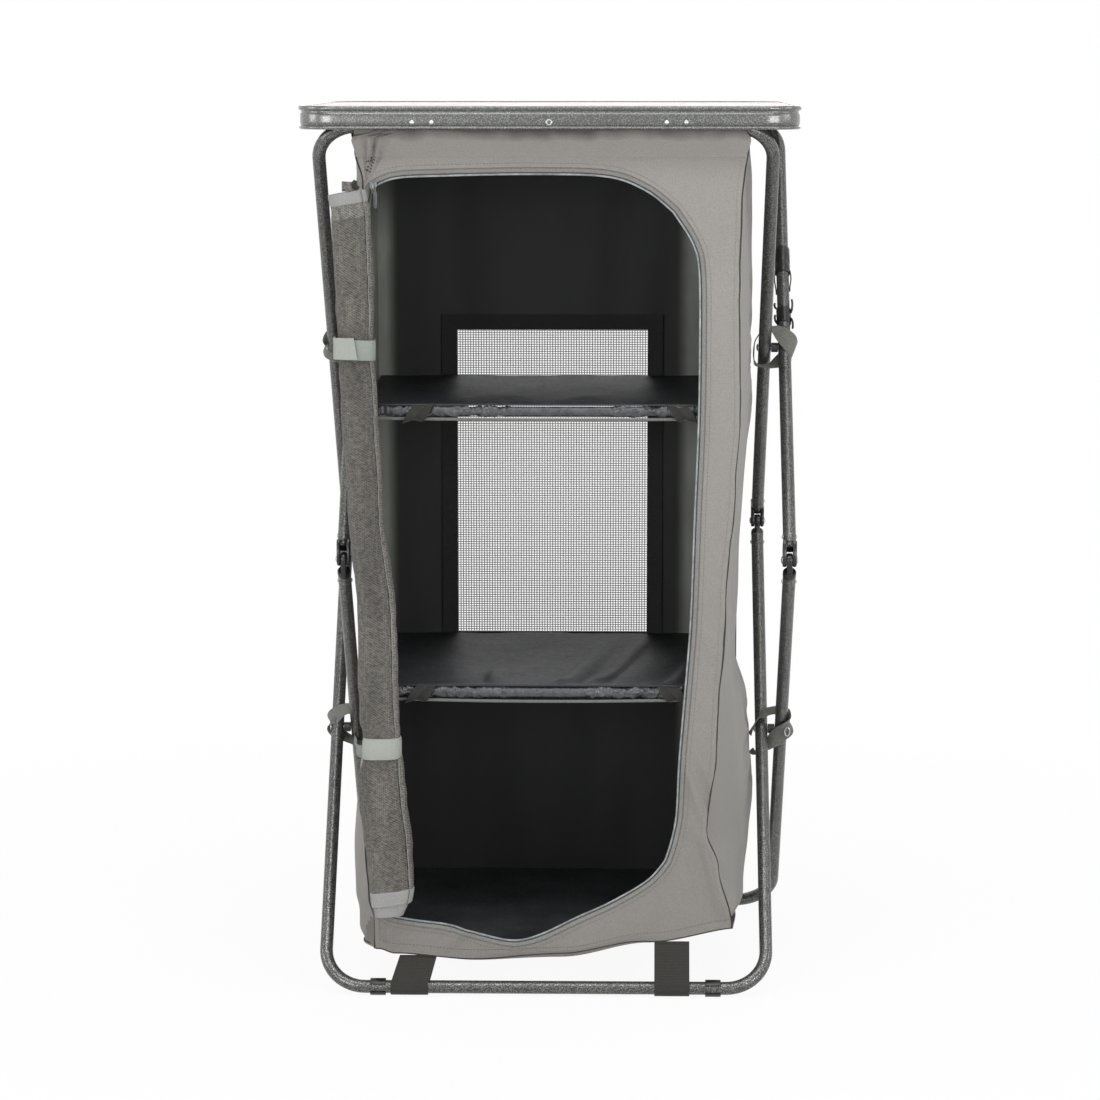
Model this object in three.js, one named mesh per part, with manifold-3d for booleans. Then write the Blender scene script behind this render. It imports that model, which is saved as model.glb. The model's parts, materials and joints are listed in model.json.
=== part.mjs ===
// Camping storage shelf: a tabletop on two folding tube scissors, with a fabric cupboard between them.
// Millimetres, +X to the viewer's right, +Y to the back, +Z up. The origin is on the floor under the middle.
import * as THREE from "three";
import { mergeVertices } from "three/addons/utils/BufferGeometryUtils.js";
import Module from "manifold-3d";

// Tabletop
const topWidth = 600;
const topDepth = 500;
const topCornerRadius = 45;
const rimHeight = 28;
const rimFlangeHeight = 6;
const rimFlangeReach = 3;
const rimBandReach = 1.6;
const rimBeadHeight = 4;
const rimBeadReach = 2.2;
const rimGroove = 1.6;
const rimWall = 2;
const rimLip = 9;
const boardThickness = 9;
const boardDrop = 1.2;
const boardEdgeGap = 0.4;
const cornerSteps = 6;

// Tubes and the stance of the open frame
const tubeDiameter = 16;
const tubeWall = 1.2;
const legRise = 281.35;
const elbowRise = 244.79;
const barInset = 25.4;
const hoopWidth = 544;
const hoopBend = 50;
const frontHoopX = -5;
const hoopOffset = 25;
const barHeight = 10.5;
const barDropUnderTop = 24;

// Folding elbows
const elbowOffset = 10.3;
const elbowSleeveRadius = 10;
const elbowSleeveStart = 12;
const elbowSleeveLength = 25;
const elbowEyeRadius = 8.5;
const elbowTongue = 7;
const elbowSlotGap = 0.3;
const elbowCheek = 4.6;
const elbowCollar = 0.8;
const elbowCollarLength = 4;
const elbowTubeInset = 2;
const pinRadius = 2.4;
const pinHeadRadius = 4.6;
const pinHeadHeight = 1.9;
const headCrownShare = 0.55;

// Scissor pivots
const rivetRadius = 2.4;
const rivetHeadRadius = 4.8;
const rivetHeadHeight = 2.2;
const spacerRadius = 6.2;

// Running and fitting gaps
const slipGap = 0.3;
const faceGap = 0.3;
const cutOverrun = 5;

// Clips under the tabletop, glides under the frame, keepers on one rear leg
const clipThickness = 2.2;
const clipWidth = 34;
const clipReach = 139;
const clipGripAngle = 205;
const clipPlateHeight = 11;
const rimRivetSpread = 23;
const rimRivetRadius = 2;
const rimRivetHeadRadius = 2.9;
const rimRivetHeadHeight = 1.3;
const eyeletRadius = 4.2;
const eyeletBore = 1.6;
const eyeletHeight = 1.5;
const eyeletShank = 2.3;
const glideWidth = 19;
const glideThickness = 2.2;
const glideFootWidth = 9;
const glideMouthAngle = 70;
const glideInset = 66;
const keeperLength = 26;
const keeperThickness = 2.3;
const keeperReach = 12;
const keeperArm = 32;
const keeperAlongShares = [0.385, 0.15];
const keeperFootShares = [0, 0.35];
const keeperTipShare = 0.62;

// Fabric cupboard
const clothThickness = 2.4;
const bagMiddleX = 2;
const bagSideInset = 34;
const bagFrontInset = 16.6;
const bagBackInset = 24.6;
const bagTopDrop = 5;
const bagHemHeight = 42;
const bagFloorBackRise = 16;
const doorLeftMargin = 26;
const doorMargin = 44;
const doorTopMargin = 54.8;
const doorBottomMargin = 50;
const doorTopCorner = 120;
const doorBottomCorner = 100;
const doorCurveInset = 11;
const doorCurveHeight = 125;
const doorDipX = -44;
const doorDipHeight = 66;
const windowWidth = 258;
const windowHeight = 410;
const windowMiddleX = -5;
const windowBottom = 381;
const windowHem = 17;
const windowStrand = 4;
const windowThickness = 1.4;
const windowColumns = 8;
const windowRows = 11;
const shelfHeights = [381, 726];
const shelfThickness = 3;
const shelfHem = 13;
const shelfSag = 9;
const shelfFrontInset = 16;
const shelfBackInset = 4;
const seamSlacks = [1, 1.2];
const bandHeight = 5;
const bandThickness = 1.6;
const bandLoopWidth = 32;
const bandLoopHeight = 15;

// Rolled door, ties, loops, straps and the zip's slider
const rollTopDrop = 15;
const rollDepth = 30;
const rollLap = 3.5;
const rollLapBackShare = 0.75;
const tieWidth = 26;
const tieThickness = 1.5;
const tieHeights = [799, 312];
const loopWidth = 24;
const loopThickness = 1.4;
const loopSlack = 4.2;
const loopCorner = 9;
const floorStrapWidth = 45;
const floorStrapThickness = 1.5;
const frontStrapInsets = [67, 90];
const rearStrapInsets = [86, 70];
const frontStrapTopShift = 8;
const sliderWidth = 9;
const sliderHeight = 14;
const sliderDepth = 4.5;
const sliderEyeRadius = 3.2;
const sliderEyeBore = 1.5;
const sliderEyeWidth = 3;
const sliderEyeReach = 1.9;
const pullerWidth = 6.4;
const pullerLength = 27;
const pullerThickness = 1.4;
const pullerCorner = 0.6;
const sliderInset = 1.5;
const sliderDrop = 13;

// Outlines of the soft cupboard, as shares of its half width and of its height, from the hem up
const rightSeamShares = [
  [0, 0.94], [0.045, 0.928], [0.115, 0.861], [0.16, 0.798], [0.26, 0.845], [0.44, 0.887],
  [0.58, 0.932], [0.66, 0.954], [0.8, 0.945], [0.91, 0.954], [1, 0.99],
];
const rightBulgeShares = [
  [0, 0.955], [0.1, 1.03], [0.2, 1.045], [0.28, 1.02], [0.355, 0.955],
  [0.45, 0.975], [0.7, 1.03], [0.85, 1.01], [1, 1.02],
];
const leftSeamShares = [[0, 0.975], [0.15, 0.955], [0.35, 0.965], [0.6, 0.97], [0.8, 0.985], [1, 1]];
const leftBulgeShares = [[0, 0.97], [0.2, 1.0], [0.36, 0.965], [0.5, 0.985], [0.7, 0.985], [1, 0.995]];
const hemLiftShares = [[-1, 0.033], [-0.82, 0.006], [-0.4, 0], [0.05, 0.004], [0.5, 0.022], [1, 0.041]];
const rollEdgeShares = [
  [0, -0.93, -0.735], [0.12, -0.935, -0.74], [0.2, -0.975, -0.74],
  [0.3, -0.975, -0.765], [0.43, -0.985, -0.79], [0.57, -1.015, -0.83],
  [0.72, -1.035, -0.86], [0.86, -1.06, -0.89], [1, -1.09, -0.92],
];
const floorRiseShare = 0.6;
const bandLoopShares = [0.2, 0.86];
const shelfHemShare = 0.05;

const wasm = await Module();
wasm.setup();

const tubeRadius = tubeDiameter / 2;
const tubeBore = tubeRadius - tubeWall;

// The bars lie an inset inside the tabletop's edges, which gives the legs their lengths and their tilt
const barY = topDepth / 2 - barInset;
const legLong = Math.hypot(barY, legRise);
const tilt = Math.atan2(barY, legRise);
const legShort = (elbowRise - elbowOffset * Math.sin(tilt)) / Math.cos(tilt);
const rearHoopX = frontHoopX + hoopOffset;
const halfHoop = hoopWidth / 2;
const lowerPivotZ = barHeight + legRise;
const elbowZ = lowerPivotZ + elbowRise;
const elbowY = legShort * Math.sin(tilt) - elbowOffset * Math.cos(tilt);
const upperPivotZ = 2 * elbowZ - lowerPivotZ;
const topBarZ = upperPivotZ + legRise;
const topZ = topBarZ + barDropUnderTop;
const rimBottomZ = topZ - rimHeight;
const bagTop = topBarZ - bagTopDrop;
const bagHeight = bagTop - bagHemHeight;
const bagHalfWidth = halfHoop - bagSideInset;
const bagFrontY = bagFrontInset - barY;
const bagBackY = barY - bagBackInset;
const doorLeft = bagMiddleX - bagHalfWidth + doorLeftMargin;
const doorTopHeight = bagTop - doorTopMargin;
const doorBottomHeight = bagHemHeight + doorBottomMargin;
const rollTop = doorTopHeight - rollTopDrop;
const rollBottom = doorBottomHeight;
const sliderX = doorLeft + sliderInset;
const sliderZ = doorTopHeight - sliderDrop;
const glideReach = halfHoop - glideInset;
const rimInner = rimFlangeReach + rimWall;
const gripRadius = tubeRadius + slipGap;
const rearHoopLoopX = (frontHoopX + rearHoopX) / 2 + halfHoop;
const loopInnerWidth = hoopOffset + tubeDiameter + 2 * (rivetHeadHeight + faceGap + slipGap);

// The right pivot loops reach past the tabletop: half of that, taken off every x, centres the whole
const middleShift = -(rearHoopLoopX + loopInnerWidth / 2 + loopThickness - topWidth / 2) / 2;

// Colours, roughness and metalness by kind of stuff
const stuff = {
  hammered: { color: 0x4c504d, roughness: 0.45, metalness: 0.7 },
  board: { color: 0xdcd3cc, roughness: 0.5, metalness: 0 },
  plastic: { color: 0x202220, roughness: 0.4, metalness: 0 },
  steel: { color: 0xb9bbbb, roughness: 0.3, metalness: 0.9 },
  polyester: { color: 0x8b857f, roughness: 0.9, metalness: 0 },
  lining: { color: 0x2b302f, roughness: 0.6, metalness: 0 },
  net: { color: 0x9a9a9c, roughness: 0.8, metalness: 0 },
  shelf: { color: 0x3a4049, roughness: 0.4, metalness: 0 },
  webbing: { color: 0x2a2b29, roughness: 0.85, metalness: 0 },
  tie: { color: 0x8f9a92, roughness: 0.8, metalness: 0 },
  knit: { color: 0x5c5852, roughness: 0.9, metalness: 0 },
};

const shelfUnit = new THREE.Group();

function add(name, geometry, kind) {
  const mesh = new THREE.Mesh(geometry, new THREE.MeshStandardMaterial(stuff[kind]));
  mesh.name = name;
  mesh.geometry.translate(middleShift, 0, 0);
  shelfUnit.add(mesh);
}

// Solids for joining and cutting
function toSolid(geometry) {
  const bare = geometry.clone();
  bare.deleteAttribute("normal");
  bare.deleteAttribute("uv");
  const merged = mergeVertices(bare);
  const vertProperties = new Float32Array(merged.attributes.position.array);
  const triVerts = new Uint32Array(merged.index.array);
  return new wasm.Manifold(new wasm.Mesh({ numProp: 3, vertProperties, triVerts }));
}

function toGeometry(solid) {
  const mesh = solid.getMesh();
  const geometry = new THREE.BufferGeometry();
  geometry.setAttribute("position", new THREE.BufferAttribute(mesh.vertProperties, mesh.numProp));
  geometry.setIndex(new THREE.BufferAttribute(mesh.triVerts, 1));
  geometry.computeVertexNormals();
  return geometry;
}

function join(...geometries) {
  return toGeometry(geometries.map(toSolid).reduce((whole, piece) => whole.add(piece)));
}

function cut(geometry, ...tools) {
  return toGeometry(tools.map(toSolid).reduce((whole, tool) => whole.subtract(tool), toSolid(geometry)));
}

// Placing shapes: drawn in Y and Z and pushed out along X, or drawn in X and Z and pushed towards the front
function alongX(shape, width, middle, curveSegments = 8) {
  const geometry = new THREE.ExtrudeGeometry(shape, { depth: width, bevelEnabled: false, curveSegments });
  geometry.translate(0, 0, -width / 2);
  const basis = new THREE.Matrix4().makeBasis(
    new THREE.Vector3(0, 1, 0),
    new THREE.Vector3(0, 0, 1),
    new THREE.Vector3(1, 0, 0),
  );
  return geometry.applyMatrix4(basis).translate(middle, 0, 0);
}

function alongY(shape, thickness, backY, curveSegments = 8) {
  const geometry = new THREE.ExtrudeGeometry(shape, { depth: thickness, bevelEnabled: false, curveSegments });
  return geometry.rotateX(Math.PI / 2).translate(0, backY, 0);
}

function cylinderX(radius, length, x, y, z, sides = 12) {
  return new THREE.CylinderGeometry(radius, radius, length, sides).rotateZ(Math.PI / 2).translate(x, y, z);
}

function cylinderY(radius, length, x, y, z, sides = 12) {
  return new THREE.CylinderGeometry(radius, radius, length, sides).translate(x, y, z);
}

// A box with a grid on its two large faces, each point moved by a function of its three shares
function warpedBox(columns, rows, move) {
  const geometry = new THREE.BoxGeometry(1, 1, 1, columns, rows, 1);
  const position = geometry.attributes.position;
  const point = new THREE.Vector3();
  for (let i = 0; i < position.count; i += 1) {
    point.fromBufferAttribute(position, i).addScalar(0.5);
    const [x, y, z] = move(point.x, point.y, point.z);
    position.setXYZ(i, x, y, z);
  }
  return join(geometry);
}

// A value read from a table of [share along, share out], smoothed between its rows
function smoothShare(table, along, column = 1) {
  let row = 0;
  while (row < table.length - 2 && along > table[row + 1][0]) row += 1;
  const [low, high] = [table[row], table[row + 1]];
  const part = THREE.MathUtils.smoothstep(along, low[0], high[0]);
  return THREE.MathUtils.lerp(low[column], high[column], part);
}

function roundedRectangle(width, height, radius, path = new THREE.Shape()) {
  const [w, h] = [width / 2 - radius, height / 2 - radius];
  path.absarc(w, -h, radius, -Math.PI / 2, 0);
  path.absarc(w, h, radius, 0, Math.PI / 2);
  path.absarc(-w, h, radius, Math.PI / 2, Math.PI);
  path.absarc(-w, -h, radius, Math.PI, 1.5 * Math.PI);
  return path;
}

// A profile of [reach past the outline, height] taken round a rounded rectangle:
// a turned ring whose quarters are moved apart
function framedRing(profile, width, depth, radius) {
  const points = profile.map(([reach, height]) => new THREE.Vector2(radius + reach, height));
  const turned = new THREE.LatheGeometry([...points, points[0]], 4 * (cornerSteps + 1));
  const position = turned.attributes.position;
  for (let i = 0; i < position.count; i += 1) {
    const ring = Math.floor(i / (points.length + 1));
    const quarter = Math.floor(ring / (cornerSteps + 1)) % 4;
    const step = ring % (cornerSteps + 1);
    const angle = (quarter + step / cornerSteps) * (Math.PI / 2);
    const out = Math.hypot(position.getX(i), position.getZ(i));
    const middleAngle = (quarter + 0.5) * (Math.PI / 2);
    const shiftX = Math.sign(Math.sin(middleAngle)) * (width / 2 - radius);
    const shiftZ = Math.sign(Math.cos(middleAngle)) * (depth / 2 - radius);
    position.setX(i, out * Math.sin(angle) + shiftX);
    position.setZ(i, out * Math.cos(angle) + shiftZ);
  }
  return join(turned.rotateX(Math.PI / 2));
}

// A path given as stations, so that its straight runs need no rings of their own
class StationPath extends THREE.Curve {
  constructor(stations) {
    super();
    this.stations = stations;
  }
  at(share) {
    return this.stations[Math.round(share * (this.stations.length - 1))];
  }
  getPointAt(share) {
    return this.at(share).point.clone();
  }
  getTangentAt(share) {
    return this.at(share).tangent.clone();
  }
}

// Where the legs of each hoop stand: the bar lies at barSide times legLong from the pivot
const hoops = {
  upper_front: { x: frontHoopX, pivotZ: upperPivotZ, barSide: -1, up: 1 },
  upper_rear: { x: rearHoopX, pivotZ: upperPivotZ, barSide: 1, up: 1 },
  lower_front: { x: frontHoopX, pivotZ: lowerPivotZ, barSide: -1, up: -1 },
  lower_rear: { x: rearHoopX, pivotZ: lowerPivotZ, barSide: 1, up: -1 },
};

// A point of a hoop's plane: x across, along the leg from the pivot towards the bar
function onHoop(hoop, x, along) {
  return new THREE.Vector3(
    hoop.x + x,
    hoop.barSide * along * Math.sin(tilt),
    hoop.pivotZ + hoop.up * along * Math.cos(tilt),
  );
}

function hoopDirection(hoop, x, along) {
  return onHoop(hoop, x, along).sub(onHoop(hoop, 0, 0)).normalize();
}

function hoopStations(hoop) {
  const bendSteps = 5;
  const legEnd = elbowSleeveStart + elbowTubeInset - legShort;
  const stations = [{ point: onHoop(hoop, -halfHoop, legEnd), tangent: hoopDirection(hoop, 0, 1) }];
  for (const side of [-1, 1]) {
    for (let step = 0; step <= bendSteps; step += 1) {
      const turn = (step / bendSteps) * (Math.PI / 2);
      const angle = side < 0 ? Math.PI - turn : Math.PI / 2 - turn;
      const x = side * (halfHoop - hoopBend) + hoopBend * Math.cos(angle);
      const along = legLong - hoopBend + hoopBend * Math.sin(angle);
      const tangent = hoopDirection(hoop, Math.sin(angle), -Math.cos(angle));
      stations.push({ point: onHoop(hoop, x, along), tangent });
    }
  }
  stations.push({ point: onHoop(hoop, halfHoop, legEnd), tangent: hoopDirection(hoop, 0, -1) });
  return stations;
}

function ringShape(outer, inner, sides) {
  const circle = (radius) => {
    return new THREE.Path().absarc(0, 0, radius, 0, 2 * Math.PI).getSpacedPoints(sides).slice(0, -1);
  };
  const shape = new THREE.Shape(circle(outer));
  shape.holes.push(new THREE.Path(circle(inner)));
  return shape;
}

function hoopGeometry(hoop) {
  const stations = hoopStations(hoop);
  const tube = new THREE.ExtrudeGeometry(ringShape(tubeRadius, tubeBore, 12), {
    extrudePath: new StationPath(stations),
    steps: stations.length - 1,
    bevelEnabled: false,
  });
  const drill = tubeDiameter + cutOverrun;
  const holes = [-1, 1].map((side) => {
    return cylinderX(rivetRadius + slipGap, drill, hoop.x + side * halfHoop, 0, hoop.pivotZ, 8);
  });
  return cut(tube, ...holes);
}

// Elbow halves are drawn at the pin: X along it, Y from the tube towards it, Z along the tube away from it
function elbowMatrix(hoop, x) {
  const along = onHoop(hoop, 0, 1).sub(onHoop(hoop, 0, 0));
  const inward = new THREE.Vector3(0, hoop.barSide * Math.cos(tilt), -hoop.up * Math.sin(tilt));
  const across = new THREE.Vector3().crossVectors(inward, along);
  return new THREE.Matrix4().makeBasis(across, inward, along).setPosition(x, -hoop.barSide * elbowY, elbowZ);
}

function elbowOutline() {
  const sleeveNear = elbowSleeveRadius - elbowOffset;
  const sleeveFar = -elbowSleeveRadius - elbowOffset;
  const near = new THREE.Vector2(sleeveNear, elbowSleeveStart);
  const far = new THREE.Vector2(sleeveFar, elbowSleeveStart);
  // each tangent from a point to the eye meets it at the point's bearing turned by acos(radius / distance)
  const nearTouch = near.angle() - Math.acos(elbowEyeRadius / near.length());
  const farTouch = far.angle() + Math.acos(elbowEyeRadius / far.length());
  const shape = new THREE.Shape();
  shape.moveTo(near.x, near.y + elbowEyeRadius);
  shape.lineTo(far.x, far.y + elbowEyeRadius);
  shape.lineTo(far.x, far.y);
  shape.absarc(0, 0, elbowEyeRadius, farTouch, nearTouch + 2 * Math.PI, false);
  shape.lineTo(near.x, near.y);
  return shape;
}

function plateAcross(outline, width, middle) {
  return alongX(outline, width, middle, 4);
}

function elbowHalf(hoop, x, isFork) {
  const start = elbowSleeveStart;
  const sleeveEnd = start + elbowSleeveLength;
  const collarStart = sleeveEnd - elbowCollarLength;
  const turned = new THREE.LatheGeometry(
    [
      new THREE.Vector2(0, start),
      new THREE.Vector2(elbowSleeveRadius, start),
      new THREE.Vector2(elbowSleeveRadius, collarStart),
      new THREE.Vector2(elbowSleeveRadius + elbowCollar, collarStart + elbowCollar),
      new THREE.Vector2(elbowSleeveRadius + elbowCollar, sleeveEnd - elbowCollar),
      new THREE.Vector2(elbowSleeveRadius, sleeveEnd),
      new THREE.Vector2(0, sleeveEnd),
    ],
    12,
  );
  const sleeve = turned.rotateX(Math.PI / 2).translate(0, -elbowOffset, 0);
  const slot = elbowTongue / 2 + elbowSlotGap;
  const plates = isFork
    ? [-1, 1].map((side) => plateAcross(elbowOutline(), elbowCheek, side * (slot + elbowCheek / 2)))
    : [plateAcross(elbowOutline(), elbowTongue, 0)];
  const boreLength = elbowSleeveLength + cutOverrun;
  const bore = new THREE.CylinderGeometry(gripRadius, gripRadius, boreLength, 12).rotateX(Math.PI / 2);
  bore.translate(0, -elbowOffset, start + elbowTubeInset - slipGap + boreLength / 2);
  const eye = cylinderX(pinRadius + slipGap, 2 * elbowSleeveRadius + cutOverrun, 0, 0, 0, 10);
  return cut(join(sleeve, ...plates), bore, eye).applyMatrix4(elbowMatrix(hoop, x));
}

// A rivet or pin along X, with a domed head at each end
function rivet(length, radius, headRadius, headHeight, x, y, z) {
  const half = length / 2;
  const crown = headRadius * headCrownShare;
  const profile = [
    [0, -half - headHeight],
    [crown, -half - headHeight],
    [headRadius, -half - headHeight / 2],
    [headRadius, -half],
    [radius, -half],
    [radius, half],
    [headRadius, half],
    [headRadius, half + headHeight / 2],
    [crown, half + headHeight],
    [0, half + headHeight],
  ];
  const turned = new THREE.LatheGeometry(profile.map(([r, h]) => new THREE.Vector2(r, h)), 10);
  return join(turned.rotateZ(-Math.PI / 2).translate(x, y, z));
}

// Frame: hoops, elbows, pivots
const sides = [["left", -1], ["right", 1]];
for (const [name, hoop] of Object.entries(hoops)) add(`${name}_hoop`, hoopGeometry(hoop), "hammered");

for (const [side, sign] of sides) {
  const elbowPairs = [
    ["rear", hoops.upper_front, hoops.lower_front],
    ["front", hoops.upper_rear, hoops.lower_rear],
  ];
  for (const [place, upper, lower] of elbowPairs) {
    const x = upper.x + sign * halfHoop;
    const y = -upper.barSide * elbowY;
    const pinLength = elbowTongue + 2 * (elbowSlotGap + elbowCheek + faceGap);
    add(`${place}_elbow_fork_${side}`, elbowHalf(upper, x, true), "plastic");
    add(`${place}_elbow_tongue_${side}`, elbowHalf(lower, x, false), "plastic");
    const pin = rivet(pinLength, pinRadius, pinHeadRadius, pinHeadHeight, x, y, elbowZ);
    add(`${place}_elbow_pin_${side}`, pin, "steel");
  }
  const pivotPairs = [
    ["upper", hoops.upper_front, hoops.upper_rear],
    ["lower", hoops.lower_front, hoops.lower_rear],
  ];
  for (const [place, hoop, partner] of pivotPairs) {
    const [frontX, rearX] = [hoop.x + sign * halfHoop, partner.x + sign * halfHoop];
    const middle = (frontX + rearX) / 2;
    const rivetLength = rearX - frontX + tubeDiameter + 2 * faceGap;
    const pin = rivet(rivetLength, rivetRadius, rivetHeadRadius, rivetHeadHeight, middle, 0, hoop.pivotZ);
    add(`${place}_pivot_rivet_${side}`, pin, "steel");
    const spacerLength = rearX - frontX - tubeDiameter - 2 * faceGap;
    const spacer = cylinderX(spacerRadius, spacerLength, middle, 0, hoop.pivotZ, 14);
    const hole = cylinderX(rivetRadius + slipGap, spacerLength + cutOverrun, middle, 0, hoop.pivotZ, 10);
    add(`${place}_pivot_spacer_${side}`, cut(spacer, hole), "plastic");
  }
}

// Tabletop: a board in a rolled metal rim
function tabletop() {
  const flangeTop = topZ;
  const flangeBottom = topZ - rimFlangeHeight;
  const beadTop = rimBottomZ + rimBeadHeight;
  const [outlineWidth, outlineDepth] = [topWidth - 2 * rimFlangeReach, topDepth - 2 * rimFlangeReach];
  const ledgeZ = topZ - boardDrop - boardThickness - faceGap;
  const profile = [
    [rimBeadReach - rimGroove, rimBottomZ],
    [rimBeadReach, rimBottomZ + rimBeadHeight / 3],
    [rimBeadReach, beadTop - rimBeadHeight / 3],
    [0, beadTop],
    [rimBandReach / 2, beadTop + rimGroove],
    [rimBandReach / 2, flangeBottom - 2 * rimGroove],
    [0, flangeBottom - rimGroove],
    [0, flangeBottom],
    [rimFlangeReach, flangeBottom + rimGroove],
    [rimFlangeReach, flangeTop - rimGroove],
    [rimFlangeReach - rimGroove, flangeTop],
    [-rimWall, flangeTop],
    [-rimWall, ledgeZ],
    [-rimLip, ledgeZ],
    [-rimLip, ledgeZ - rimWall],
    [-rimWall, ledgeZ - rimWall],
    [-rimWall, rimBottomZ],
  ];
  const ring = framedRing(profile, outlineWidth, outlineDepth, topCornerRadius - rimFlangeReach);
  const boardInset = 2 * (rimInner + boardEdgeGap);
  const boardRadius = topCornerRadius - rimInner - boardEdgeGap;
  const boardShape = roundedRectangle(topWidth - boardInset, topDepth - boardInset, boardRadius);
  const board = new THREE.ExtrudeGeometry(boardShape, {
    depth: boardThickness,
    bevelEnabled: false,
    curveSegments: cornerSteps / 2,
  });
  add("tabletop_board", board.translate(0, 0, topZ - boardDrop - boardThickness), "board");

  const rivetZ = (rimBottomZ + ledgeZ) / 2;
  const frontWallY = -topDepth / 2 + rimFlangeReach;
  const holes = [];
  for (const [, sign] of sides) {
    for (const end of [-1, 1]) {
      const x = sign * (clipReach + rimRivetSpread / 2) + (end * rimRivetSpread) / 2;
      holes.push(cylinderY(rimRivetRadius + slipGap, 2 * cutOverrun, x, frontWallY, rivetZ, 8));
    }
  }
  holes.push(cylinderY(eyeletShank + slipGap, 2 * cutOverrun, 0, frontWallY, rivetZ, 8));
  add("tabletop_rim", cut(ring, ...holes), "hammered");
  addClips(rivetZ, frontWallY, ledgeZ);
  addEyelet(rivetZ, frontWallY);
}

// A strip bent round a bar, drawn in Y and Z: an arc of thickness clipThickness whose mouth faces mouthAngle
function gripArc(centreY, centreZ, radius, thickness, mouthAngle, wrap) {
  const start = mouthAngle + Math.PI - wrap / 2;
  const shape = new THREE.Shape();
  shape.absarc(centreY, centreZ, radius + thickness, start, start + wrap, false);
  shape.absarc(centreY, centreZ, radius, start + wrap, start, true);
  return shape;
}

// Front clips hold the front bar for good and are riveted through the rim; rear clips rest on the rear bar
function addClips(rivetZ, frontWallY, ledgeZ) {
  const plateBack = -frontWallY - rimWall - faceGap;
  const crownTop = topZ - boardDrop - boardThickness - faceGap;
  for (const [side, sign] of sides) {
    const x = sign * (clipReach + rimRivetSpread / 2);
    for (const [place, end] of [["front", -1], ["rear", 1]]) {
      const down = -Math.PI / 2;
      const mouth = end < 0 ? down : down / 2 - tilt / 2;
      const wrap = THREE.MathUtils.degToRad(end < 0 ? clipGripAngle : 180);
      const arc = gripArc(end * barY, topBarZ, gripRadius, clipThickness, mouth, wrap);
      const grip = alongX(arc, clipWidth, x, 6);
      const crown = new THREE.Shape();
      const crownHalf = gripRadius / 2;
      crown.moveTo(end * barY - crownHalf, topBarZ + gripRadius);
      crown.lineTo(end * barY + crownHalf, topBarZ + gripRadius);
      crown.lineTo(end * barY + crownHalf, crownTop);
      crown.lineTo(end * barY - crownHalf, crownTop);
      const plateInner = end * (plateBack - clipThickness);
      const plate = new THREE.Shape();
      plate.moveTo(Math.min(plateInner, end * plateBack), crownTop - rimWall - faceGap - clipPlateHeight);
      plate.lineTo(Math.max(plateInner, end * plateBack), crownTop - rimWall - faceGap - clipPlateHeight);
      plate.lineTo(Math.max(plateInner, end * plateBack), ledgeZ - rimWall - faceGap);
      plate.lineTo(Math.min(plateInner, end * plateBack), ledgeZ - rimWall - faceGap);
      const web = new THREE.Shape();
      const webTop = ledgeZ - rimWall - faceGap;
      const webFrom = end * barY;
      web.moveTo(Math.min(webFrom, plateInner + end), webTop - clipThickness);
      web.lineTo(Math.max(webFrom, plateInner + end), webTop - clipThickness);
      web.lineTo(Math.max(webFrom, plateInner + end), webTop);
      web.lineTo(Math.min(webFrom, plateInner + end), webTop);
      const pieces = [grip, ...[crown, plate, web].map((shape) => alongX(shape, clipWidth, x))];
      if (end < 0) {
        for (const rivetEnd of [-1, 1]) {
          const rivetX = x + (rivetEnd * rimRivetSpread) / 2;
          const headY = frontWallY - rimBandReach / 2 - faceGap - rimRivetHeadHeight / 2;
          const shankLength = -headY - plateBack + clipThickness / 2;
          pieces.push(cylinderY(rimRivetRadius, shankLength, rivetX, headY + shankLength / 2, rivetZ, 8));
          pieces.push(cylinderY(rimRivetHeadRadius, rimRivetHeadHeight, rivetX, headY, rivetZ, 10));
        }
      }
      const cradle = cylinderX(gripRadius, clipWidth + cutOverrun, x, end * barY, topBarZ, 14);
      add(`${place}_bar_clip_${side}`, cut(join(...pieces), cradle), "plastic");
    }
  }
}

function addEyelet(rivetZ, frontWallY) {
  const face = frontWallY - rimBandReach / 2 - faceGap;
  const back = frontWallY + rimWall + faceGap;
  const profile = [
    [eyeletBore, face - eyeletHeight],
    [eyeletRadius - eyeletHeight / 2, face - eyeletHeight],
    [eyeletRadius, face - eyeletHeight / 2],
    [eyeletRadius, face],
    [eyeletShank, face],
    [eyeletShank, back],
    [eyeletRadius - eyeletHeight / 2, back],
    [eyeletRadius - eyeletHeight / 2, back + eyeletHeight / 2],
    [eyeletBore, back + eyeletHeight / 2],
  ];
  const points = [...profile, profile[0]].map(([r, y]) => new THREE.Vector2(r, y));
  add("rim_eyelet", join(new THREE.LatheGeometry(points, 12).translate(0, 0, rivetZ)), "steel");
}

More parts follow.
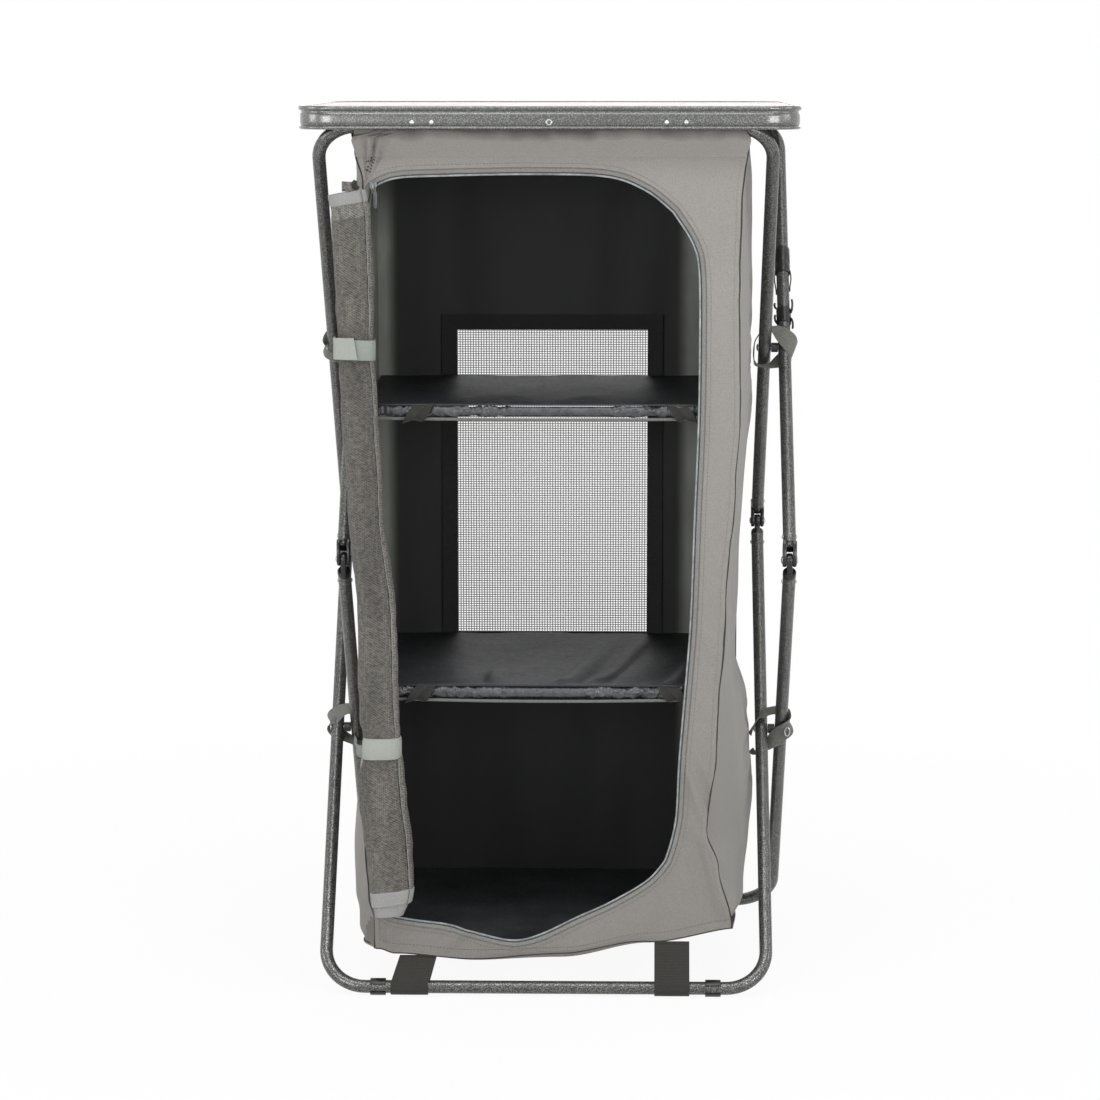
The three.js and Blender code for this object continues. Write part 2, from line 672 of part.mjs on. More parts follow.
// Glides: open rings with a flat sole, snapped on the bottom bars
function addGlides() {
  for (const [place, hoop] of [["front", hoops.lower_front], ["rear", hoops.lower_rear]]) {
    for (const [side, sign] of sides) {
      const wrap = 2 * Math.PI - THREE.MathUtils.degToRad(glideMouthAngle);
      const mouth = hoop.barSide > 0 ? 0 : Math.PI;
      const arc = gripArc(hoop.barSide * barY, barHeight, gripRadius, glideThickness, mouth, wrap);
      const ring = alongX(arc, glideWidth, 0, 6);
      const sole = new THREE.Shape();
      const [y, foot] = [hoop.barSide * barY, glideFootWidth / 2];
      sole.moveTo(y - foot, 0);
      sole.lineTo(y + foot, 0);
      sole.lineTo(y + foot, barHeight - gripRadius / 2);
      sole.lineTo(y - foot, barHeight - gripRadius / 2);
      const cradle = cylinderX(gripRadius, glideWidth + cutOverrun, 0, y, barHeight, 16);
      const glide = cut(join(ring, alongX(sole, glideWidth, 0)), cradle);
      add(`${place}_glide_${side}`, glide.translate(hoop.x + sign * glideReach, 0, 0), "plastic");
    }
  }
}

// Keepers: sleeves on the rear hoop's right leg, with arms that take the leg folded against it
function addKeepers() {
  const hoop = hoops.upper_rear;
  const x = hoop.x + halfHoop;
  const along = onHoop(hoop, 0, 1).sub(onHoop(hoop, 0, 0));
  const inward = new THREE.Vector3(0, Math.cos(tilt), -Math.sin(tilt));
  const across = new THREE.Vector3().crossVectors(inward, along);
  ["upper", "lower"].forEach((place, index) => {
    const ring = new THREE.ExtrudeGeometry(ringShape(gripRadius + keeperThickness, gripRadius, 12), {
      depth: keeperLength,
      bevelEnabled: false,
    });
    const arms = [-1, 1].map((side) => {
      const arm = new THREE.Shape();
      const foot = keeperLength * keeperFootShares[index];
      arm.moveTo(0, foot);
      arm.lineTo(0, keeperLength);
      arm.lineTo(keeperReach, keeperLength - keeperThickness);
      arm.lineTo(keeperArm, keeperLength * keeperTipShare);
      arm.lineTo(keeperArm, foot);
      return alongX(arm, keeperThickness, side * (gripRadius + keeperThickness / 2), 4);
    });
    const bore = new THREE.CylinderGeometry(gripRadius, gripRadius, keeperLength + cutOverrun, 12);
    const body = cut(join(ring, ...arms), bore.rotateX(Math.PI / 2).translate(0, 0, keeperLength / 2));
    const start = onHoop(hoop, halfHoop, keeperAlongShares[index] * legLong - keeperLength / 2);
    const matrix = new THREE.Matrix4().makeBasis(across, inward, along).setPosition(x, start.y, start.z);
    add(`${place}_keeper_clip`, body.applyMatrix4(matrix), "plastic");
  });
}

// The cupboard's side at a height: outer face, from the front seam over the bulge to the straight rear seam
function sideX(sign, y, z) {
  const along = THREE.MathUtils.clamp((z - bagHemHeight) / bagHeight, 0, 1);
  const depthShare = THREE.MathUtils.clamp((y - bagFrontY) / (bagBackY - bagFrontY), 0, 1);
  const seam = smoothShare(sign > 0 ? rightSeamShares : leftSeamShares, along);
  const bulge = smoothShare(sign > 0 ? rightBulgeShares : leftBulgeShares, along);
  const swell = Math.sin(Math.PI * depthShare);
  const share = THREE.MathUtils.lerp(seam, 1, depthShare) * (1 - swell) + bulge * swell;
  return bagMiddleX + sign * bagHalfWidth * share;
}

function hemZ(x) {
  return bagHemHeight + bagHeight * smoothShare(hemLiftShares, (x - bagMiddleX) / bagHalfWidth);
}

function floorZ(x, y) {
  const depthShare = THREE.MathUtils.clamp((y - bagFrontY) / (bagBackY - bagFrontY), 0, 1);
  const back = bagHemHeight + bagFloorBackRise;
  return THREE.MathUtils.lerp(hemZ(x), back, THREE.MathUtils.smoothstep(depthShare, 0, floorRiseShare));
}

function sideWall(sign) {
  const gap = clothThickness + faceGap;
  return warpedBox(6, 18, (depthShare, heightShare, thickShare) => {
    const y = THREE.MathUtils.lerp(bagFrontY + faceGap, bagBackY - gap, depthShare);
    const floor = floorZ(sideX(sign, y, bagHemHeight), y) + gap;
    const z = THREE.MathUtils.lerp(floor, bagTop - gap, heightShare);
    const inset = sign > 0 ? clothThickness * (1 - thickShare) : clothThickness * thickShare;
    return [sideX(sign, y, z) - sign * inset, y, z];
  });
}

// A level cloth between the side walls; depths and heights come from functions of the shares
function levelCloth(columns, rows, frontY, backY, inset, top, thickness) {
  return warpedBox(columns, rows, (acrossShare, depthShare, thickShare) => {
    const y = THREE.MathUtils.lerp(frontY, backY, depthShare);
    const edge = (sign) => sideX(sign, y, top(sideX(sign, y, bagHemHeight), y)) - sign * inset;
    const x = THREE.MathUtils.lerp(edge(-1), edge(1), acrossShare);
    const lower = thickness(depthShare);
    return [x, y, top(x, y) - lower * (1 - thickShare)];
  });
}

function frontOutline() {
  const steps = 20;
  const shape = new THREE.Shape();
  for (let i = 0; i <= steps; i += 1) {
    const left = sideX(-1, bagFrontY, bagHemHeight);
    const x = THREE.MathUtils.lerp(left, sideX(1, bagFrontY, bagHemHeight), i / steps);
    if (i === 0) shape.moveTo(x, hemZ(x));
    else shape.lineTo(x, hemZ(x));
  }
  for (let i = 1; i <= steps; i += 1) {
    const z = THREE.MathUtils.lerp(hemZ(sideX(1, bagFrontY, bagHemHeight)), bagTop, i / steps);
    shape.lineTo(sideX(1, bagFrontY, z), z);
  }
  for (let i = 0; i < steps; i += 1) {
    const z = THREE.MathUtils.lerp(bagTop, hemZ(sideX(-1, bagFrontY, bagHemHeight)), i / steps);
    shape.lineTo(sideX(-1, bagFrontY, z), z);
  }
  return shape;
}

// The doorway follows the right seam at an even distance and has round corners on that side
function doorway() {
  const edge = (z) => sideX(1, bagFrontY, z) - doorMargin;
  const steps = 12;
  const hole = new THREE.Path();
  hole.moveTo(doorLeft, doorBottomHeight);
  hole.lineTo(doorLeft, doorTopHeight);
  const topCornerStart = doorTopHeight - doorTopCorner;
  hole.lineTo(edge(topCornerStart) - doorTopCorner, doorTopHeight);
  hole.quadraticCurveTo(edge(topCornerStart), doorTopHeight, edge(topCornerStart), topCornerStart);
  const bottomCornerEnd = doorBottomHeight + doorBottomCorner;
  for (let i = 1; i <= steps; i += 1) {
    const z = THREE.MathUtils.lerp(topCornerStart, bottomCornerEnd, i / steps);
    hole.lineTo(edge(z), z);
  }
  const curveX = edge(bottomCornerEnd) - doorCurveInset;
  hole.quadraticCurveTo(curveX, doorCurveHeight, doorDipX, doorDipHeight);
  return hole;
}

function cupboard() {
  const gap = clothThickness + faceGap;
  const panel = frontOutline();
  panel.holes.push(doorway());
  add("cupboard_front", alongY(panel, clothThickness, bagFrontY), "polyester");
  add("cupboard_left_side", sideWall(-1), "polyester");
  add("cupboard_right_side", sideWall(1), "polyester");

  const backShape = new THREE.Shape();
  const backBottom = bagHemHeight + bagFloorBackRise - clothThickness;
  const [backLeft, backRight] = [sideX(-1, bagBackY, bagTop), sideX(1, bagBackY, bagTop)];
  backShape.moveTo(backLeft, backBottom);
  backShape.lineTo(backRight, backBottom);
  backShape.lineTo(backRight, bagTop);
  backShape.lineTo(backLeft, bagTop);
  const windowHole = new THREE.Path();
  const [windowLeft, windowRight] = [windowMiddleX - windowWidth / 2, windowMiddleX + windowWidth / 2];
  windowHole.moveTo(windowLeft, windowBottom);
  windowHole.lineTo(windowRight, windowBottom);
  windowHole.lineTo(windowRight, windowBottom + windowHeight);
  windowHole.lineTo(windowLeft, windowBottom + windowHeight);
  backShape.holes.push(windowHole);
  add("cupboard_back", alongY(backShape, clothThickness, bagBackY), "polyester");

  const inner = bagBackY - gap;
  const frontY = bagFrontY + faceGap;
  add("cupboard_roof", levelCloth(4, 4, frontY, inner, 0, () => bagTop, () => clothThickness), "polyester");
  add("cupboard_floor", levelCloth(10, 6, frontY, inner, 0, floorZ, () => clothThickness), "lining");
  addWindow(inner);
  addShelves(inner, gap);
}

// The window: a hemmed frame of webbing round an open net
function addWindow(innerY) {
  const middleY = innerY - windowThickness / 2;
  const middleZ = windowBottom + windowHeight / 2;
  const strand = (width, height, x, z) => {
    return new THREE.BoxGeometry(width, windowThickness, height).translate(x, middleY, z);
  };
  const [outerWidth, outerHeight] = [windowWidth + 2 * windowHem, windowHeight + 2 * windowHem];
  const pieces = [];
  for (const end of [-1, 1]) {
    const sideMiddle = (end * (windowWidth + windowHem)) / 2;
    const capMiddle = (end * (windowHeight + windowHem)) / 2;
    pieces.push(strand(windowHem, outerHeight, windowMiddleX + sideMiddle, middleZ));
    pieces.push(strand(outerWidth, windowHem, windowMiddleX, middleZ + capMiddle));
  }
  for (let column = 1; column < windowColumns; column += 1) {
    const x = windowMiddleX + windowWidth * (column / windowColumns - 0.5);
    pieces.push(strand(windowStrand, outerHeight - windowHem, x, middleZ));
  }
  for (let row = 1; row < windowRows; row += 1) {
    const z = windowBottom + windowHeight * (row / windowRows);
    pieces.push(strand(outerWidth - windowHem, windowStrand, windowMiddleX, z));
  }
  add("window_net", join(...pieces), "net");
}

// Shelves: slings that sag between the side walls, with a thick front hem over a webbing band
function addShelves(innerY, gap) {
  const frontY = bagFrontY + shelfFrontInset;
  const backY = innerY - windowThickness - shelfBackInset;
  shelfHeights.forEach((height, index) => {
    const name = ["lower", "upper"][index];
    const edgeInset = gap + seamSlacks[index];
    const shelfTop = (x, y) => {
      const [across, deep] = [(x - bagMiddleX) / bagHalfWidth, (y - frontY) / (backY - frontY)];
      const belly = Math.max(0, 1 - across * across) * Math.sin(Math.PI * THREE.MathUtils.clamp(deep, 0, 1));
      return height - shelfSag * belly;
    };
    const hem = (depthShare) => (depthShare < shelfHemShare ? shelfHem : shelfThickness);
    add(`${name}_shelf`, levelCloth(8, 6, frontY, backY, edgeInset, shelfTop, hem), "shelf");

    const bandTop = height - shelfHem - faceGap;
    const left = sideX(-1, frontY, height) + edgeInset;
    const right = sideX(1, frontY, height) - edgeInset;
    const band = new THREE.BoxGeometry(right - left, bandThickness, bandHeight);
    band.translate((left + right) / 2, frontY + bandThickness / 2, bandTop - bandHeight / 2);
    const loopY = frontY - faceGap - bandThickness / 2;
    const loopMiddle = bandTop + (bandLoopHeight - bandHeight) / 2;
    const loops = bandLoopShares.map((share) => {
      const loop = new THREE.BoxGeometry(bandLoopWidth, bandThickness, bandLoopHeight + bandHeight);
      return loop.translate(THREE.MathUtils.lerp(left, right, share), loopY, loopMiddle);
    });
    const bridges = bandLoopShares.map((share) => {
      const bridge = new THREE.BoxGeometry(bandLoopWidth, bandThickness + faceGap, bandHeight);
      const x = THREE.MathUtils.lerp(left, right, share);
      return bridge.translate(x, frontY, bandTop - bandHeight / 2);
    });
    add(`${name}_shelf_band`, join(band, ...loops, ...bridges), "webbing");
  });
}

// The rolled door: an oval roll with its free edge lapped over, following the doorway's left side
function rollEdges(z) {
  const along = THREE.MathUtils.clamp((z - rollBottom) / (rollTop - rollBottom), 0, 1);
  const left = bagMiddleX + bagHalfWidth * smoothShare(rollEdgeShares, along, 1);
  const right = bagMiddleX + bagHalfWidth * smoothShare(rollEdgeShares, along, 2);
  return [left, right];
}

const rollBackReach = rollDepth / 2 + rollLap * rollLapBackShare;
const rollFrontReach = rollDepth / 2 + rollLap * (1 - rollLapBackShare);
const rollMiddleY = bagFrontY - clothThickness - faceGap - tieThickness - slipGap - rollBackReach;

function rolledDoor() {
  const roll = new THREE.CylinderGeometry(1, 1, 1, 14, 14).rotateX(Math.PI / 2);
  const position = roll.attributes.position;
  for (let i = 0; i < position.count; i += 1) {
    const [unitX, unitY] = [position.getX(i), position.getY(i)];
    const z = THREE.MathUtils.lerp(rollBottom, rollTop, position.getZ(i) + 0.5);
    const [left, right] = rollEdges(z);
    const turn = (Math.atan2(unitY, unitX) + 2 * Math.PI) % (2 * Math.PI);
    const lap = Math.hypot(unitX, unitY) * rollLap * (1 - turn / (2 * Math.PI));
    const x = (left + right) / 2 + unitX * ((right - left) / 2 - rollLap) + unitX * lap;
    const y = rollMiddleY + unitY * (rollDepth / 2) + unitY * lap;
    position.setXYZ(i, x, y, z);
  }
  add("rolled_door", join(roll), "knit");
}

// A flat band closed round an oblong, drawn in X and Y and as tall as the webbing is wide
function bandRound(centreX, centreY, width, depth, radius, thickness, height, z) {
  const shape = roundedRectangle(width + 2 * thickness, depth + 2 * thickness, radius + thickness);
  shape.holes.push(roundedRectangle(width, depth, radius, new THREE.Path()));
  const band = new THREE.ExtrudeGeometry(shape, { depth: height, bevelEnabled: false, curveSegments: 2 });
  return band.translate(centreX, centreY, z - height / 2);
}

function ties() {
  ["upper", "lower"].forEach((place, index) => {
    const z = tieHeights[index];
    const edges = [rollEdges(z - tieWidth / 2), rollEdges(z + tieWidth / 2)];
    const left = Math.min(edges[0][0], edges[1][0]) - slipGap;
    const right = Math.max(edges[0][1], edges[1][1]) + slipGap;
    const depth = rollBackReach + rollFrontReach + 2 * slipGap;
    const radius = Math.min(right - left, depth) / 2 - tieThickness;
    const y = rollMiddleY + (rollBackReach - rollFrontReach) / 2;
    const tie = bandRound((left + right) / 2, y, right - left, depth, radius, tieThickness, tieWidth, z);
    add(`${place}_door_tie`, tie, "tie");
  });
}

// Loops of webbing from the cupboard's sides round both crossed tubes at the pivots
function pivotLoops() {
  const places = [
    ["upper_right", 1, upperPivotZ],
    ["lower_right", 1, lowerPivotZ],
    ["lower_left", -1, lowerPivotZ],
  ];
  for (const [place, sign, z] of places) {
    const middle = rearHoopLoopX - halfHoop + sign * halfHoop;
    const depth = tubeDiameter / Math.cos(tilt) + loopWidth * Math.tan(tilt) + loopSlack;
    const loop = bandRound(middle, 0, loopInnerWidth, depth, loopCorner, loopThickness, loopWidth, z);
    add(`${place}_pivot_loop`, loop, "tie");
  }
}

// Straps from the cupboard's hem round the bottom bars: a loop round the bar drawn to a point at the hem
function floorStrap(barSide, x, apexZ, topShift) {
  const outer = gripRadius + floorStrapThickness;
  const apexY = barSide * (barSide > 0 ? bagBackY : -bagFrontY);
  const apex = new THREE.Vector2(apexY - barSide * barY, apexZ - barHeight);
  const spread = Math.acos(outer / apex.length());
  const bearing = apex.angle();
  const loop = (radius) => {
    const path = new THREE.Path();
    path.absarc(0, 0, radius, bearing + spread, bearing - spread + 2 * Math.PI, false);
    path.lineTo((apex.x * radius) / outer, (apex.y * radius) / outer);
    return path.getPoints(8);
  };
  const shape = new THREE.Shape(loop(outer));
  shape.holes.push(new THREE.Path(loop(gripRadius)));
  const strap = alongX(shape, floorStrapWidth, x).translate(0, barSide * barY, barHeight);
  const position = strap.attributes.position;
  for (let i = 0; i < position.count; i += 1) {
    position.setX(i, position.getX(i) + topShift * THREE.MathUtils.smoothstep(position.getZ(i), 0, apexZ));
  }
  return join(strap);
}

function floorStraps() {
  sides.forEach(([side, sign], index) => {
    const strapX = (insets) => bagMiddleX + sign * (bagHalfWidth - insets[index]);
    const frontX = strapX(frontStrapInsets);
    const shift = index === 0 ? frontStrapTopShift : 0;
    const low = Math.min(hemZ(frontX - floorStrapWidth / 2), hemZ(frontX + floorStrapWidth / 2));
    const front = low - clothThickness - faceGap;
    add(`front_floor_strap_${side}`, floorStrap(-1, frontX, front, shift), "webbing");
    const back = bagHemHeight + bagFloorBackRise - clothThickness - faceGap;
    add(`rear_floor_strap_${side}`, floorStrap(1, strapX(rearStrapInsets), back, 0), "webbing");
  });
}

// Zip slider on the doorway's top left corner, and the puller whose top bar runs through the slider's eye
function zip() {
  const back = bagFrontY - clothThickness - faceGap;
  const eyeY = back - sliderDepth - sliderEyeReach;
  const body = new THREE.Shape();
  body.moveTo(-sliderWidth / 2, sliderHeight / 2);
  body.lineTo(-sliderWidth / 3, -sliderHeight / 2);
  body.lineTo(sliderWidth / 3, -sliderHeight / 2);
  body.lineTo(sliderWidth / 2, sliderHeight / 2);
  const block = alongY(body, sliderDepth, back).translate(sliderX, 0, sliderZ);
  const eye = alongX(ringShape(sliderEyeRadius, sliderEyeBore, 10), sliderEyeWidth, sliderX);
  add("zip_slider", join(block, eye.translate(0, eyeY, sliderZ)), "steel");

  const barHalf = pullerThickness / 2;
  const slotHeight = sliderEyeRadius + 2 * faceGap - barHalf;
  const slotWidth = sliderEyeWidth + 2 * faceGap;
  const slot = roundedRectangle(slotWidth, slotHeight, pullerCorner, new THREE.Path()).getPoints(1);
  const lowered = slot.map((p) => new THREE.Vector2(p.x, p.y - barHalf - slotHeight / 2));
  const plate = roundedRectangle(pullerWidth, pullerLength, 2 * pullerCorner).getPoints(1);
  const hung = plate.map((p) => new THREE.Vector2(p.x, p.y + barHalf - pullerLength / 2));
  const outline = new THREE.Shape(hung);
  outline.holes.push(new THREE.Path(lowered));
  const puller = alongY(outline, pullerThickness, eyeY + barHalf);
  add("zip_puller", puller.translate(sliderX, 0, sliderZ), "steel");
}

tabletop();
addGlides();
addKeepers();
cupboard();
rolledDoor();
ties();
pivotLoops();
floorStraps();
zip();

export default shelfUnit;
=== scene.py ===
import bisect
import json
from math import acos, atan2, copysign, cos, hypot, pi, radians, sin
import bmesh
import bpy
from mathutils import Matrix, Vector, noise

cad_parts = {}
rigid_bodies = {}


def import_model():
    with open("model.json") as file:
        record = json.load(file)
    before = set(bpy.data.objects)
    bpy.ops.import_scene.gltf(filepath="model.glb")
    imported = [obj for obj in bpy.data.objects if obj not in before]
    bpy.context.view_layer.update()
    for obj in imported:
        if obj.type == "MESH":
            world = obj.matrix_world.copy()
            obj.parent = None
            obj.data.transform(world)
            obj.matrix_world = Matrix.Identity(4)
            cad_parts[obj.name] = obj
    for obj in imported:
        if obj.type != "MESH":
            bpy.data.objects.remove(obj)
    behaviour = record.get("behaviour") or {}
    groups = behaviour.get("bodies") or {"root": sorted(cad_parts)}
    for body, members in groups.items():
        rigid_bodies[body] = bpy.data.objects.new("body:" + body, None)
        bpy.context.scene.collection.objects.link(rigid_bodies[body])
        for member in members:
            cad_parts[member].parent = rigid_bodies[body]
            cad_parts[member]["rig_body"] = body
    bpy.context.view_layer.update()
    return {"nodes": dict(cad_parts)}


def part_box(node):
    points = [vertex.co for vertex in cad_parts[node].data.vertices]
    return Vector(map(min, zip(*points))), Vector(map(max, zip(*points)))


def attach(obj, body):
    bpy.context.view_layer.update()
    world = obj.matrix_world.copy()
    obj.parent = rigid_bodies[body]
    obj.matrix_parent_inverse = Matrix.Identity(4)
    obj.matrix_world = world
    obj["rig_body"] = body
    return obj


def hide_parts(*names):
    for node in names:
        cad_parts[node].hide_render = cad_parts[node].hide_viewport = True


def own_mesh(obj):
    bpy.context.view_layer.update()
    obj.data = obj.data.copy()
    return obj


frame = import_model()

# ---- measures in millimetres, repeated from the part's source ----
SHIFT = -2.1  # the whole part is moved this far in x, so that its box is centred
BAR_Y, LEG_RISE, ELBOW_RISE, ELBOW_Y = 224.6, 281.35, 244.79, 182.235
TILT, LONG = atan2(BAR_Y, LEG_RISE), hypot(BAR_Y, LEG_RISE)
SIN, COS = sin(TILT), cos(TILT)
HALF_HOOP, BEND, BAR_Z, TUBE = 272, 50, 10.5, 8
PIN_OFF = 10.3  # the elbow's pin, from its tube's axis
CLOTH = 1.3  # the thickness of the walls
LOOSE = 9.3  # the radius of cloth that goes round a bar
LOWER_Z = BAR_Z + LEG_RISE
ELBOW_Z = LOWER_Z + ELBOW_RISE
UPPER_Z = ELBOW_Z + ELBOW_RISE
TOP_BAR = UPPER_Z + LEG_RISE
TOP = TOP_BAR + 24
RIM_BOTTOM = TOP - 28
FRONT, BACK, HEM, BAG_TOP = -208, 200, 42, TOP_BAR - 5
BAG_HIGH = BAG_TOP - HEM
MIDDLE, HALF_BAG = 2, 238
SIDES = (("left", -1), ("right", 1))
# each hoop: its shift in x, its pivot's height, the side it leans to in y, and up or down
HOOPS = {
    "upper_front": (-5, UPPER_Z, -1, 1), "upper_rear": (20, UPPER_Z, 1, 1),
    "lower_front": (-5, LOWER_Z, -1, -1), "lower_rear": (20, LOWER_Z, 1, -1),
}
# the walls' outlines: pairs of share of the height and share of the half width, right and left
SEAM = {
    1: [(0, .94), (.045, .928), (.115, .861), (.16, .798), (.26, .845), (.44, .887), (.58, .932), (.66, .954),
        (.8, .945), (.91, .954), (1, .99)],
    -1: [(0, .905), (.05, .907), (.075, .935), (.15, .955), (.35, .965), (.6, .965), (.8, .955), (.94, .944),
         (.977, .983), (1, 1)],
}
BULGE = {
    1: [(0, .975), (.06, 1.015), (.12, 1.047), (.18, 1.052), (.28, 1.025), (.355, .955), (.45, .975), (.7, 1.03),
        (.8, 1.035), (.93, 1.035), (1, 1.01)],
    -1: [(0, .985), (.2, 1), (.36, .965), (.5, .985), (.7, .985), (.88, 1.03), (.96, 1.03), (1, 1.005)],
}
HEM_LIFT = [(-1, .012), (-.9, .0125), (-.81, .0069), (-.4, 0), (.05, .004), (.5, .022), (1, .041)]
WINDOW = [(-134, 381), (124, 381), (124, 791), (-134, 791)]
# the rolled door: height, left edge and right edge
ROLL = [
    (100, -214, -177), (118, -217, -170), (136, -219, -167), (160, -221, -168), (201, -227, -170), (250, -232, -176),
    (275, -234, -178), (297, -228, -179), (312, -226, -181), (330, -228, -182), (345, -231, -184), (400, -232, -186),
    (472, -233, -188), (620, -243, -202), (720, -250, -207), (785, -253, -209.5), (799, -253.5, -210.5),
    (815, -254, -211), (860, -256, -212), (957, -259, -215), (988, -263, -220),
]
ROLL_LOW, ROLL_HIGH, ROLL_Y = 117, 988, -230.1
TIES = 799, 311  # the heights of the door's ties


def lerp(a, b, t):
    return a + (b - a) * t


def steps(a, b, count):
    """Even steps from a to b."""
    return [lerp(a, b, k / count) for k in range(count + 1)]


def round_by(count):
    """The angles of count even steps round a circle."""
    return [2 * pi * k / count for k in range(count)]


def clamp(v, low=0.0, high=1.0):
    return max(low, min(high, v))


def smooth(v, low=0.0, high=1.0):
    t = clamp((v - low) / (high - low))
    return t * t * (3 - 2 * t)


def bump(v, middle, width):
    """A smooth hump of height 1, gone beyond width either side of middle."""
    t = abs(v - middle) / width
    return 0.0 if t >= 1 else (1 - t * t) ** 2


def table(rows, along):
    """Reads a table of shares as the part's source does, smoothed between its rows."""
    k = 0
    while k < len(rows) - 2 and along > rows[k + 1][0]:
        k += 1
    (a, va), (b, vb) = rows[k], rows[k + 1]
    return lerp(va, vb, smooth(along, a, b))


def n3(x, y, z, size):
    """Even noise, about -1 to 1, whose lumps are about size millimetres across."""
    return noise.noise(Vector((x / size, y / size, z / size)))


def creases(x, y, z, size):
    """Sharp-edged crumples about size millimetres across: 1 on a crease, and down to about -1 between them."""
    return 1 - 4 * abs(n3(x, y, z, size))


def vec(*xyz):
    return Vector(xyz)


def depth(y):
    """How far back a place is in the bag, 0 to 1."""
    return clamp((y - FRONT) / (BACK - FRONT))


def side_x(sign, y, z):
    """Where a side wall is at a depth and height, without its folds."""
    along = clamp((z - HEM) / BAG_HIGH)
    deep = depth(y)
    seam, bulge = table(SEAM[sign], along), table(BULGE[sign], along)
    swell = sin(pi * deep)
    x = MIDDLE + sign * HALF_BAG * (lerp(seam, 1, deep) * (1 - swell) + bulge * swell)
    full = lerp(.35, 1, smooth(z, 30, 50)) * (1 - smooth(z, 110, 380))
    return x - (17 * bump(deep, .09, .11) * full if sign < 0 else 0)


def hem_z(x):
    return HEM + BAG_HIGH * table(HEM_LIFT, clamp((x - MIDDLE) / HALF_BAG, -1, 1))


CORNER = {sign: side_x(sign, FRONT, HEM) for sign in (-1, 1)}  # the front's lower corners, in x


def floor_z(x, y):
    return lerp(hem_z(x), HEM + 16, smooth(depth(y), 0, .6))


def roll_edges(z):
    return table([row[:2] for row in ROLL], z), table([row[::2] for row in ROLL], z)


def on_hoop(name, x, along):
    hx, pz, side, up = HOOPS[name]
    return vec(hx + x, side * along * SIN, pz + up * along * COS)


# ---- materials: each one is a small graph of noises and waves on object coordinates ----
WHITE = (255, 255, 255)


class Tree:
    """Builds a node tree step by step."""

    def __init__(self, owner):
        owner.use_nodes = True
        self.t = owner.node_tree

    def new(self, kind, **values):
        node = self.t.nodes.new("ShaderNode" + kind)
        for key, value in values.items():
            setattr(node, key, value)
        return node

    def put(self, socket, value):
        if isinstance(value, bpy.types.NodeSocket):
            self.t.links.new(value, socket)
        else:
            socket.default_value = value

    def calc(self, how, a, b=0.0, c=0.0):
        node = self.new("Math", operation=how)
        for socket, value in zip(node.inputs, (a, b, c)):
            self.put(socket, value)
        return node.outputs[0]

    def cover(self, share, below, kind, out):
        """Lays a plain white light over a shader by share, and sends it to the output."""
        white, mix = self.new(kind), self.new("MixShader")
        white.inputs[0].default_value, white.inputs[1].default_value = (1, 1, 1, 1), 1
        for socket, value in zip(mix.inputs, (share, below, white.outputs[0])):
            self.put(socket, value)
        self.put(out.inputs[0], mix.outputs[0])


